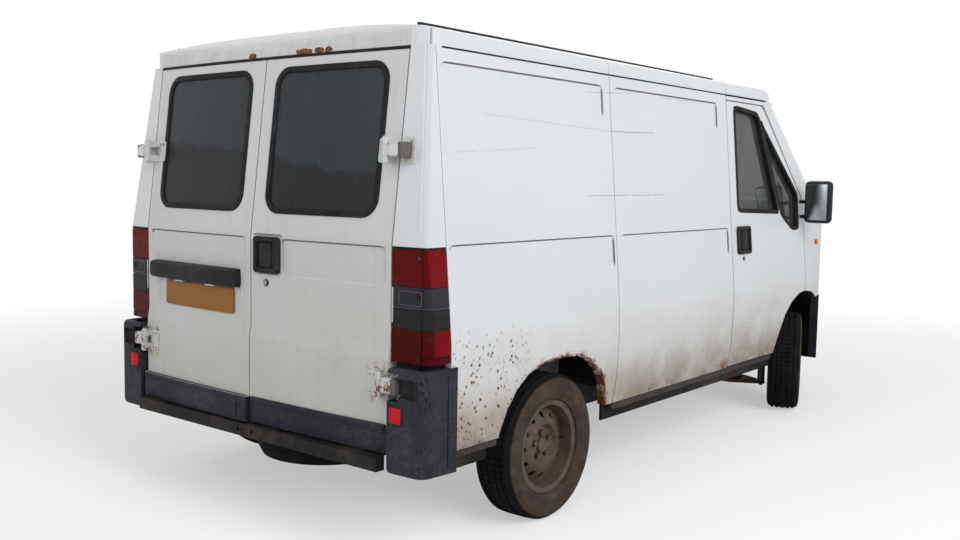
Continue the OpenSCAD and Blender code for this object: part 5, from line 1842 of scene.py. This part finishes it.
@dataclass
class Bumpers:
    """Rear corner mouldings on a rusty beam, and the front bumper."""

    shop: Workshop
    rim: float = 0.026
    draw: float = 0.013

    def _rounded(self, rear: Piece) -> None:
        """Draws in the upper and the lower rim of the corner mouldings."""
        rear.bm.normal_update()
        shifts = {}
        for vert in rear.bm.verts:
            side = Side.RIGHT if vert.co.y < 0 else Side.LEFT
            past = max(vert.co.z - (0.780 - self.rim), (0.372 + self.rim) - vert.co.z) / self.rim
            out = Vector((vert.normal.x, vert.normal.y, 0.0))
            inner = Vector((-2.170, side * 0.930, vert.co.z))
            if past <= 0.0 or abs(vert.co.y) < 0.812 or out.length < 0.05 or out.dot(vert.co - inner) <= 0.03:
                continue
            if vert.co.x > -2.115 and vert.normal.x > 0.5:
                continue
            shifts[vert] = out.normalized() * -self.draw * (1 - math.sqrt(max(1 - min(past, 1.0) ** 2, 0.0)))
        for vert, shift in shifts.items():
            vert.co += shift
        rear.bm.normal_update()

    def build(self) -> None:
        """Builds both bumpers."""
        rear = self.shop.copy("rear_bumper_mouldings", "rear_bumper", "grey_plastic", 1.0)
        rear.paint_where(lambda p: abs(p.y) < 0.806, "beam_steel")
        for t in (0.0, 0.15, 0.35, 0.6, 0.85):
            divide(rear.bm, 2, 0.780 - self.rim * (1 - t))
            divide(rear.bm, 2, 0.372 + self.rim * (1 - t))
        self._rounded(rear)
        recess = Pressing((0.856, 0.672), (0.974, 0.746), 0.014, 0.014, 0.004)
        groove = Groove(True, -2.158, 0.396, 0.752, 0.009, 0.005)
        for side in (Side.RIGHT, Side.LEFT):
            span = sorted((side * recess.low[0], side * recess.high[0]))
            own = Pressing((span[0], recess.low[1]), (span[1], recess.high[1]), recess.depth, recess.corner,
                recess.slope)
            rear.press([own],
                lambda p, side=side: (p.y, p.z) if p.x < -2.2985 and p.y * side > 0.82 else None,
                Vector((1, 0, 0)), (1, 2))
            rear.press([groove],
                lambda p, side=side: (p.x, p.z) if p.y * side > 1.0062 and p.z < 0.761 else None,
                Vector((0, -side, 0)), (0, 2))
        # the faces inside the recess are painted black: painted shade
        rear.paint_where(
            lambda p: p.x > -2.2986 and p.x < -2.2800 and 0.856 < abs(p.y) < 0.974 and 0.672 < p.z < 0.746,
            "rubber_seal")
        for side in (Side.RIGHT, Side.LEFT):
            ends = sorted((side * 0.8325, side * 0.9005))
            rear.box((-2.3030, ends[0], 0.5645), (-2.2980, ends[1], 0.6380), 0.003, "black_plastic")
            rear.box((-2.3060, ends[0] + 0.005, 0.5720), (-2.2990, ends[1] - 0.005, 0.6330), 0.003,
                "bright_red")
        rear.place("body", "rear_bumper", smooth=40.0)
        front = self.shop.copy("front_bumper_moulding", "front_bumper", "grey_plastic", 1.0)
        front.soften(0.012, 60.0, 3, lambda p: p.z > 0.7415 or p.z < 0.2905)
        front.place("body", "front_bumper")
        plate = self.shop.piece("front_plate_blank", "pan_white")
        plate.box((2.3240, -0.26, 0.585), (2.3275, 0.26, 0.695), 0.001)
        plate.place("body")


# -------------------------------------------------------------------------- trim


@dataclass
class Trim:
    """Strips, arch lips, roof bars, fuel flap and the sliding door's rail."""

    shop: Workshop

    def build(self) -> None:
        """Builds the trim."""
        self.shop.copy("roof_bar_caps", "roof_bars", "black_plastic").soften(0.003).place("body", "roof_bars")
        self.shop.copy("fuel_flap_skin", "fuel_flap", "body_paint").place("fuel_flap", "fuel_flap")
        gutter = self.shop.piece("gutter_strips_and_lip_shadow", "rubber_seal")
        for side in (Side.RIGHT, Side.LEFT):
            gutter.slab(rectangle(-2.100, 1.9915, 0.900, 1.9985), -0.004, 0.0012, SHAPE.on_side(side),
                0.002, 0.0008, 0.5)
        # across the rear, a dark strip fills the gap under the roof's lip: a painted shadow
        gutter.slab(rectangle(-0.800, 1.9865, 0.800, 1.9975), -0.006, 0.0010, SHAPE.on_rear(), 0.001,
            0.0005, 0.08)
        gutter.place("body")
        headers = self.shop.piece("door_header_panels", "body_paint")
        for side in (Side.RIGHT, Side.LEFT):
            headers.slab(rectangle(0.358, 1.9685, 1.005, 1.9905), -0.020, -0.0015, SHAPE.on_side(side),
                0.003, 0.0015, 0.2)
        headers.place("body")
        self._arch_lips()
        self._sills()
        self._rail()

    def _arch_lips(self) -> None:
        """Builds the rolled lip inside each rear arch."""
        lips = self.shop.piece("rear_arch_lips", "body_paint")
        paint = self.shop.finishes.kinds["body_paint"]
        for side in (Side.RIGHT, Side.LEFT):
            edges = []
            for scale in (1.001, 0.993):
                ring = []
                for k in range(49):
                    a = math.pi * k / 48
                    u = math.copysign(abs(math.cos(a)) ** (2 / 2.6), math.cos(a)) * paint.arch_half * scale
                    v = math.sin(a) ** (2 / 2.6) * paint.arch_rise * scale
                    if paint.arch_foot + v > 0.442:
                        ring.append((paint.arch_x + u, paint.arch_foot + v))
                edges.append(ring)
            lips.slab(edges[0] + edges[1][::-1], -0.016, -0.0012, SHAPE.on_side(side), 0.0, 0.0012, 2.0)
        lips.place("body")

    def _sills(self) -> None:
        """Builds the dark strips under the sides."""
        sills = self.shop.piece("sill_strips", "step_plastic")
        sills.box((-0.900, -0.968, 0.404), (0.338, -0.935, 0.4375), 0.006)
        sills.box((0.352, -0.962, 0.404), (1.000, -0.935, 0.4375), 0.006)
        sills.box((-2.085, -0.966, 0.408), (-1.800, -0.940, 0.4385), 0.005)
        sills.box((-0.935, -0.930, 0.352), (1.020, -0.915, 0.470), 0.004, "underseal")
        sills.box((-2.085, -0.936, 0.352), (-1.830, -0.922, 0.436), 0.004, "underseal")
        sills.mirror_y()
        sills.place("body")

    def _rail(self) -> None:
        """Builds the sliding door's rail cover and its handle on the left side."""
        rail = self.shop.piece("sliding_rail_cover", "black_plastic")
        skin = SHAPE.on_side(Side.LEFT)
        rail.slab(rectangle(-2.080, 1.0670, -0.905, 1.0880), -0.006, 0.004, skin, 0.004, 0.002, 0.3)
        rail.slab(rectangle(-2.080, 1.0735, -0.905, 1.0815), 0.003, 0.0055, skin, 0.002, 0.001, 0.3,
            finish="chassis_steel")
        rail.place("body")
        grip = self.shop.piece("sliding_door_handle", "black_plastic")
        grip.slab(rectangle(0.080, 1.090, 0.260, 1.250), 0.0, 0.011, skin, 0.018, 0.005, 0.2, 0.020)
        grip.slab(rectangle(0.096, 1.106, 0.244, 1.234), -0.004, 0.002, skin, 0.004, 0.001, 0.2)
        grip.slab(rectangle(0.138, 1.112, 0.216, 1.228), 0.001, 0.009, skin, 0.006, 0.003, 0.2, taper=0.002)
        grip.place("body")


# ------------------------------------------------------------------------ wheels


@dataclass
class Wheels:
    """Tyres with blocks of tread, and bolted steel wheels."""

    shop: Workshop
    turn: float = 22.0
    steps: int = 72

    def build(self) -> None:
        """Builds the four wheels."""
        lean = math.radians(self.turn)
        ahead = (1.4425, 0.715, 0.145)
        for side, word in ((Side.RIGHT, "right"), (Side.LEFT, "left")):
            out = Vector((-side * math.sin(lean), side * math.cos(lean), 0.0))
            centre = Vector((ahead[0], side * ahead[1], 0.325)) + out * ahead[2]
            self._wheel(f"front_{word}", centre, out)
            self._wheel(f"rear_{word}", Vector((-1.4075, side * 0.880, 0.325)), Vector((0.0, side, 0.0)))

    def _wheel(self, place: str, centre: Vector, out: Vector) -> None:
        """Builds one wheel.

        Args:
            place: which wheel it is.
            centre: its middle.
            out: direction of its axis, away from the van.
        """
        turn = Vector((0, 0, 1)).rotation_difference(out).to_matrix().to_4x4()
        matrix = Matrix.Translation(centre) @ turn
        tyre = self.shop.piece(f"{place}_tyre", "tyre_rubber")
        half = [(0.1905, 0.050), (0.1905, 0.064), (0.2075, 0.0655), (0.2085, 0.0705), (0.2130, 0.0850),
            (0.2350, 0.0984), (0.2380, 0.1000), (0.2430, 0.0990), (0.2620, 0.1022), (0.2820, 0.1005),
            (0.2840, 0.0992), (0.2900, 0.0985), (0.3060, 0.0935), (0.3110, 0.0885), (0.3130, 0.0800),
            (0.3150, 0.0745), (0.3165, 0.0560), (0.3160, 0.0500), (0.3175, 0.0455), (0.3178, 0.0215),
            (0.3175, 0.0175)]
        inner = [(0.3060, 0.0), (0.3000, 0.0780), (0.2620, 0.0900), (0.2150, 0.0700)]
        profile = half + [(r, -h) for r, h in reversed(half)]
        profile += [(r, -h) for r, h in reversed(inner[1:])] + inner
        tyre.lathe(profile, Matrix(), None, self.steps)
        tyre.bm.normal_update()
        ribs = []
        for face in tyre.bm.faces:
            middle = face.calc_center_median()
            across = abs(middle.z)
            on_rib = 0.056 < across < 0.0745 or 0.022 < across < 0.045 or across < 0.017
            if on_rib and math.hypot(middle.x, middle.y) > 0.3125:
                ribs.append(face)
        bmesh.ops.inset_individual(tyre.bm, faces=ribs, thickness=0.0022, depth=0.0068, use_even_offset=True)
        tyre.paint_where(lambda p: math.hypot(p.x, p.y) < 0.3005, "tyre_wall")
        bmesh.ops.transform(tyre.bm, matrix=matrix, verts=tyre.bm.verts)
        tyre.place(f"wheel_{place}", f"tyre_{place}", smooth=28.0)
        rim = self.shop.copy(f"{place}_rim", f"rim_{place}", "wheel_steel", 0.8)
        for k in range(5):
            a = math.tau * (k + 0.3) / 5
            at = Vector((0.054 * math.cos(a), 0.054 * math.sin(a), 0.0))
            # each nut sits on a thin black ring: painted shade round its seat
            for low, high, radius, sides, finish in ((0.0290, 0.0304, 0.0165, 24, "rubber_seal"),
                    (0.0300, 0.044, 0.0105, 6, "wheel_steel")):
                made = rim.rod(at + Vector((0, 0, low)), at + Vector((0, 0, high)), radius, finish, sides,
                    round_=0.001)
                bmesh.ops.transform(rim.bm, matrix=matrix, verts=made)
        ring = [(0.1170, 0.0240), (0.1130, 0.0330), (0.1060, 0.0385), (0.0980, 0.0400), (0.0900, 0.0375),
            (0.0830, 0.0320), (0.0790, 0.0260), (0.0790, 0.0200), (0.1170, 0.0200)]
        rim.lathe(ring, matrix, "wheel_steel", 60)
        rim.lathe([(0.1180, 0.0030), (0.1600, 0.0030), (0.1600, 0.0000), (0.1180, 0.0000)], matrix,
            "underseal", 60)
        cap = [(0.0, 0.0490), (0.020, 0.0485), (0.0290, 0.0470), (0.0330, 0.0430), (0.0345, 0.0360),
            (0.0350, 0.0303), (0.0325, 0.0303), (0.0315, 0.0360), (0.0300, 0.0425), (0.0260, 0.0455),
            (0.0, 0.0460)]
        rim.lathe(cap, matrix, "wheel_steel", 48, False)
        edge = [(0.2045, 0.0752), (0.2062, 0.0760), (0.2072, 0.0752), (0.2065, 0.0742), (0.2045, 0.0742)]
        rim.lathe(edge, matrix, "brake_steel", 72)
        made = rim.rod(Vector((0.171, 0.0, 0.004)), Vector((0.164, 0.0, 0.036)), 0.004, "rubber_seal", 12,
            0.003, 0.0005)
        bmesh.ops.transform(rim.bm, matrix=matrix, verts=made)
        rim.place(f"wheel_{place}", f"rim_{place}", smooth=30.0)


# -------------------------------------------------------------------- upholstery


@dataclass(frozen=True)
class Pad:
    """One cushion: its closed form before it swells, and its seams."""

    name: str
    low: Point
    high: Point
    lean: float = 0.0
    seams: tuple[float, ...] = ()
    fill: float = 0.75
    voxel: float = 0.012
    cap: float = 0.024


@dataclass
class Seats:
    """Driver's seat and double passenger seat, their pads swelled as cloth."""

    shop: Workshop
    rear: float = 0.4505
    base: float = 0.70

    def build(self) -> None:
        """Builds both seats."""
        for word, y0, y1, heads in (("driver", -0.740, -0.240, (-0.490,)),
                ("passenger", -0.160, 0.760, (0.070, 0.530))):
            frame = self.shop.piece(f"{word}_seat_frame", "dash_plastic")
            frame.box((0.4805, y0 + 0.040, 0.5003), (0.8805, y1 - 0.040, self.base - 0.001), 0.012)
            frame.box((0.500, y0 + 0.090, 0.560), (0.884, y1 - 0.090, 0.640), 0.010, "trim_grey")
            for y in heads:
                for post in (-0.045, 0.045):
                    frame.rod((0.385, y + post, 1.470), (0.380, y + post, 1.560), 0.006, "zinc", 16)
            if word == "driver":
                frame.rod((0.50, y0 + 0.012, 0.735), (0.50, y0 - 0.010, 0.735), 0.028, None, 28, round_=0.005)
            frame.place("body", f"{word}_seat")
            width = y1 - y0
            middles = (y0 + 0.085, y1 - 0.085) if width < 0.6 else (y0 + 0.085, y0 + width / 2 - 0.03,
                y0 + width / 2 + 0.03, y1 - 0.085)
            pads = [
                Pad(f"{word}_seat_cushion", (0.462, y0 + 0.012, self.base + 0.012),
                (0.960, y1 - 0.012, 0.842), 0.0, middles),
                Pad(f"{word}_seat_back", (0.430, y0 + 0.014, 0.846), (0.530, y1 - 0.014, 1.488), -8.5,
                middles)]
            for k, y in enumerate(heads):
                pads.append(
                    Pad(f"{word}_head_restraint_{k + 1}", (0.350, y - 0.112, 1.548),
                    (0.412, y + 0.112, 1.692), 0.0, (), 0.8, 0.010, 0.016))
            for pad in pads:
                self._pad(pad)

    def _pad(self, pad: Pad) -> None:
        """Builds one pad.

        Args:
            pad: its closed form and its seams.
        """
        piece = self.shop.piece(pad.name, "seat_cloth")
        piece.box(pad.low, pad.high, 0.034, segments=3)
        if pad.lean:
            pivot = Vector((pad.low[0] + 0.05, 0, pad.low[2]))
            turn = Matrix.Translation(pivot) @ Matrix.Rotation(math.radians(pad.lean), 4,
                "Y") @ Matrix.Translation(-pivot)
            bmesh.ops.transform(piece.bm, matrix=turn, verts=piece.bm.verts)
        made = piece.place("body", smooth=80.0)
        self._remesh(made, pad.voxel)
        self._swell(made, pad.cap)
        self._sew(made, pad)

    def _bake(self, made: bpy.types.Object) -> None:
        """Replaces an object's mesh by what its modifiers make of it."""
        old, materials = made.data, list(made.data.materials)
        data = bpy.data.meshes.new_from_object(made.evaluated_get(bpy.context.evaluated_depsgraph_get()))
        made.modifiers.clear()
        made.data = data
        data.materials.clear()
        for material in materials:
            data.materials.append(material)
        bpy.data.meshes.remove(old)

    def _remesh(self, made: bpy.types.Object, voxel: float) -> None:
        """Turns a pad into an even skin."""
        remesh = made.modifiers.new("skin", "REMESH")
        remesh.mode = "VOXEL"
        remesh.voxel_size = voxel
        remesh.use_smooth_shade = True
        self._bake(made)

    def _swell(self, made: bpy.types.Object, cap: float) -> None:
        """Lets a pad swell as cloth under pressure, and holds how far it moves.

        Args:
            made: the pad.
            cap: the furthest a point may move.
        """
        rest = [vert.co.copy() for vert in made.data.vertices]
        cloth = made.modifiers.new("cloth", "CLOTH")
        cloth.settings.use_pressure = True
        cloth.settings.uniform_pressure_force = 4.0
        cloth.settings.effector_weights.gravity = 0.0
        cloth.settings.quality = 4
        cloth.point_cache.frame_start, cloth.point_cache.frame_end = 1, 20
        for number in range(1, 21):
            bpy.context.scene.frame_set(number)
        self._bake(made)
        bpy.context.scene.frame_set(1)
        for vert, start in zip(made.data.vertices, rest):
            move = vert.co - start
            if move.length > cap:
                vert.co = start + move * (cap / move.length)

    def _sew(self, made: bpy.types.Object, pad: Pad) -> None:
        """Draws the seams in and smooths the skin between them."""
        bm = bmesh.new()
        bm.from_mesh(made.data)
        for _ in range(3):
            bmesh.ops.smooth_vert(bm, verts=bm.verts, factor=0.5, use_axis_x=True, use_axis_y=True,
                use_axis_z=True)
        bmesh.ops.subdivide_edges(bm, edges=bm.edges, cuts=1, use_grid_fill=True)
        bm.normal_update()
        middle = (Vector(pad.low) + Vector(pad.high)) / 2
        moves = []
        for vert in bm.verts:
            fall = sum(math.exp(-(((vert.co.y - y) / 0.007) ** 2)) for y in pad.seams)
            if not pad.seams:
                fall = math.exp(-(((vert.co.x - middle.x) / 0.006) ** 2))
            moves.append(vert.normal * (0.0055 * min(fall, 1.0)))
        for vert, move in zip(bm.verts, moves):
            vert.co -= move
        for face in bm.faces:
            face.smooth = True
        bm.to_mesh(made.data)
        bm.free()


# --------------------------------------------------------------------------- cab


@dataclass
class Cab:
    """Dashboard, steering wheel, bulkhead, door cards, pedals and the gear lever."""

    shop: Workshop

    def build(self) -> None:
        """Builds the cab's pieces."""
        dash = self.shop.copy("dashboard_moulding", "dashboard", "dash_plastic", 1.0)
        dash.soften(0.012, 40.0, 3,
            lambda p: abs(p.y) < 0.801 and p.x > 1.12 and p.z > 0.861 and abs(p.y + 0.48) > 0.03)
        dash.place("body", "dashboard")
        self._instruments()
        wheel = self.shop.copy("steering_wheel_moulding", "steering_wheel", "dash_plastic", 1.0)
        wheel.place("steering_wheel", "steering_wheel")
        board = self.shop.copy("bulkhead_panel", "bulkhead", "bulkhead_board")
        board.place("body", "bulkhead")
        self._controls()
        for side, word in ((Side.RIGHT, "right"), (Side.LEFT, "left")):
            self._card(side, word)

    def _instruments(self) -> None:
        """Builds the dial panel, air vents, radio blank and heater knobs."""
        cluster = self.shop.piece("instrument_panel", "black_plastic")
        cluster.box((1.1935, -0.640, 1.130), (1.2350, -0.320, 1.230), 0.014, None, 3)
        for y in (-0.560, -0.480, -0.400):
            cluster.rod((1.1945, y, 1.182), (1.1905, y, 1.182), 0.033, "dash_plastic", 32)
            cluster.rod((1.1915, y, 1.182), (1.1898, y, 1.182), 0.029, "clear_lens", 32)
        for y0, y1, z0, z1 in ((-0.130, 0.050, 1.100, 1.165), (-0.130, 0.050, 1.010, 1.085),
                (-0.770, -0.680, 1.085, 1.165), (0.640, 0.750, 1.085, 1.165)):
            cluster.box((1.1350, y0, z0), (1.1850, y1, z1), 0.006)
            for k in range(3):
                z = z0 + (z1 - z0) * (k + 1) / 4
                cluster.box((1.1310, y0 + 0.008, z - 0.004), (1.1400, y1 - 0.008, z + 0.004), 0.001,
                    "dash_plastic")
        for y in (-0.10, -0.04, 0.02):
            cluster.rod((1.150, y, 0.965), (1.128, y, 0.965), 0.016, None, 28, round_=0.003)
        cluster.place("body")

    def _controls(self) -> None:
        """Builds the gear lever and the pedals."""
        lever = self.shop.piece("gear_lever", "dash_plastic")
        lever.rod((1.02, -0.19, 0.501), (1.02, -0.19, 0.535), 0.060, None, 32, 0.030, 0.004)
        lever.rod((1.02, -0.19, 0.530), (0.985, -0.20, 0.800), 0.007, "zinc", 16)
        lever.rod((0.986, -0.20, 0.790), (0.981, -0.201, 0.850), 0.019, None, 28, 0.023, 0.008)
        lever.place("body")
        pedals = self.shop.piece("pedals", "chassis_steel")
        for y in (-0.580, -0.480, -0.385):
            pedals.rod((1.330, y, 0.860), (1.255, y, 0.640), 0.007, None, 14)
            pedals.box((1.235, y - 0.030, 0.600), (1.256, y + 0.030, 0.655), 0.004, "rubber_seal")
        pedals.place("body")

    def _card(self, side: int, word: str) -> None:
        """Builds the trim card, armrest and winder inside a front door."""
        low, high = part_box(f"front_door_{word}")
        inner = min(abs(low.y), abs(high.y))
        card = self.shop.piece(f"{word}_front_door_card", "trim_grey")
        ends = sorted((side * (inner - 0.006), side * (inner + 0.002)))
        card.box((0.460, ends[0], 0.560), (1.030, ends[1], 1.180), 0.003)
        card.box((1.026, ends[0], 0.740), (1.330, ends[1], 1.180), 0.003)
        ends = sorted((side * (inner - 0.034), side * (inner - 0.004)))
        card.box((0.560, ends[0], 0.930), (0.860, ends[1], 0.985), 0.012, "dash_plastic")
        card.box((0.600, ends[0] + 0.006 * (side < 0), 0.600), (1.010, ends[1] - 0.006 * (side > 0), 0.720),
            0.010, "dash_plastic")
        at = Vector((0.960, side * (inner - 0.004), 0.860))
        card.rod(at, at - Vector((0, side * 0.026, 0)), 0.017, "dash_plastic", 24, round_=0.003)
        card.rod(at - Vector((0, side * 0.022, 0)), at + Vector((0.085, -side * 0.022, 0.035)), 0.006,
            "dash_plastic", 14)
        card.place(f"front_door_{word}")


# --------------------------------------------------------------------- underbody


@dataclass
class Underbody:
    """Chassis parts that keep their CAD shape, with the details between them."""

    shop: Workshop
    kept: tuple[tuple[str, str], ...] = (("front_frame", "body_paint"), ("scuttle", "black_plastic"),
        ("grille", "black_plastic"), ("chassis_rails", "chassis_steel"), ("engine", "cast_alloy"),
        ("fuel_tank", "black_plastic"), ("exhaust", "chassis_steel"), ("spare_wheel", "tyre_rubber"),
        ("rear_axle", "chassis_steel"), ("front_suspension", "chassis_steel"),
        ("knuckle_right", "brake_steel"), ("knuckle_left", "brake_steel"),)

    def build(self) -> None:
        """Gives the kept nodes their finish and adds the load space's details."""
        for node, finish in self.kept:
            self.shop.paint(node, finish)
        self._load_floor()
        self._straps()

    def _load_floor(self) -> None:
        """Builds the ribbed board and lashing rings on the load floor."""
        board = self.shop.piece("load_floor_board", "load_board")
        board.box((-2.090, -0.560, 0.5605), (0.290, 0.560, 0.5665), 0.001)
        for x in (-1.90, -1.30, -0.70, -0.10):
            for y in (-0.50, 0.50):
                at = Vector((x, y, 0.569))
                board.rod(at - Vector((0, 0, 0.003)), at, 0.024, "zinc", 28, round_=0.001)
                board.lathe(
                    [(0.0180 + 0.003 * math.cos(math.tau * k / 8), 0.003 * math.sin(math.tau * k / 8))
                    for k in range(8)], Matrix.Translation(at + Vector((0, 0, 0.002))), "zinc", 24)
        board.place("body")

    def _straps(self) -> None:
        """Builds the tank's and the silencer's straps."""
        straps = self.shop.piece("tank_straps", "chassis_steel")
        for x in (-0.55, 0.0):
            straps.box((x - 0.015, -0.434, 0.2455), (x + 0.015, 0.284, 0.2495), 0.001)
        straps.place("body")


# -------------------------------------------------------------------------- main


def main() -> None:
    """Builds every piece on the loaded frame."""
    logging.basicConfig(level=logging.INFO, format="%(name)s %(message)s")
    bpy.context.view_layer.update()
    shop = Workshop(frame)
    Studio().build()
    for assembly in (Shell, RearDoors, FrontDoors, Front, TailLamps, Bumpers, Trim, Wheels, Seats, Cab,
            Underbody):
        assembly(shop).build()
    bpy.context.view_layer.update()
    log.info("%d pieces, %d triangles added", shop.count, shop.triangles)


if __name__ == "__main__":
    main()
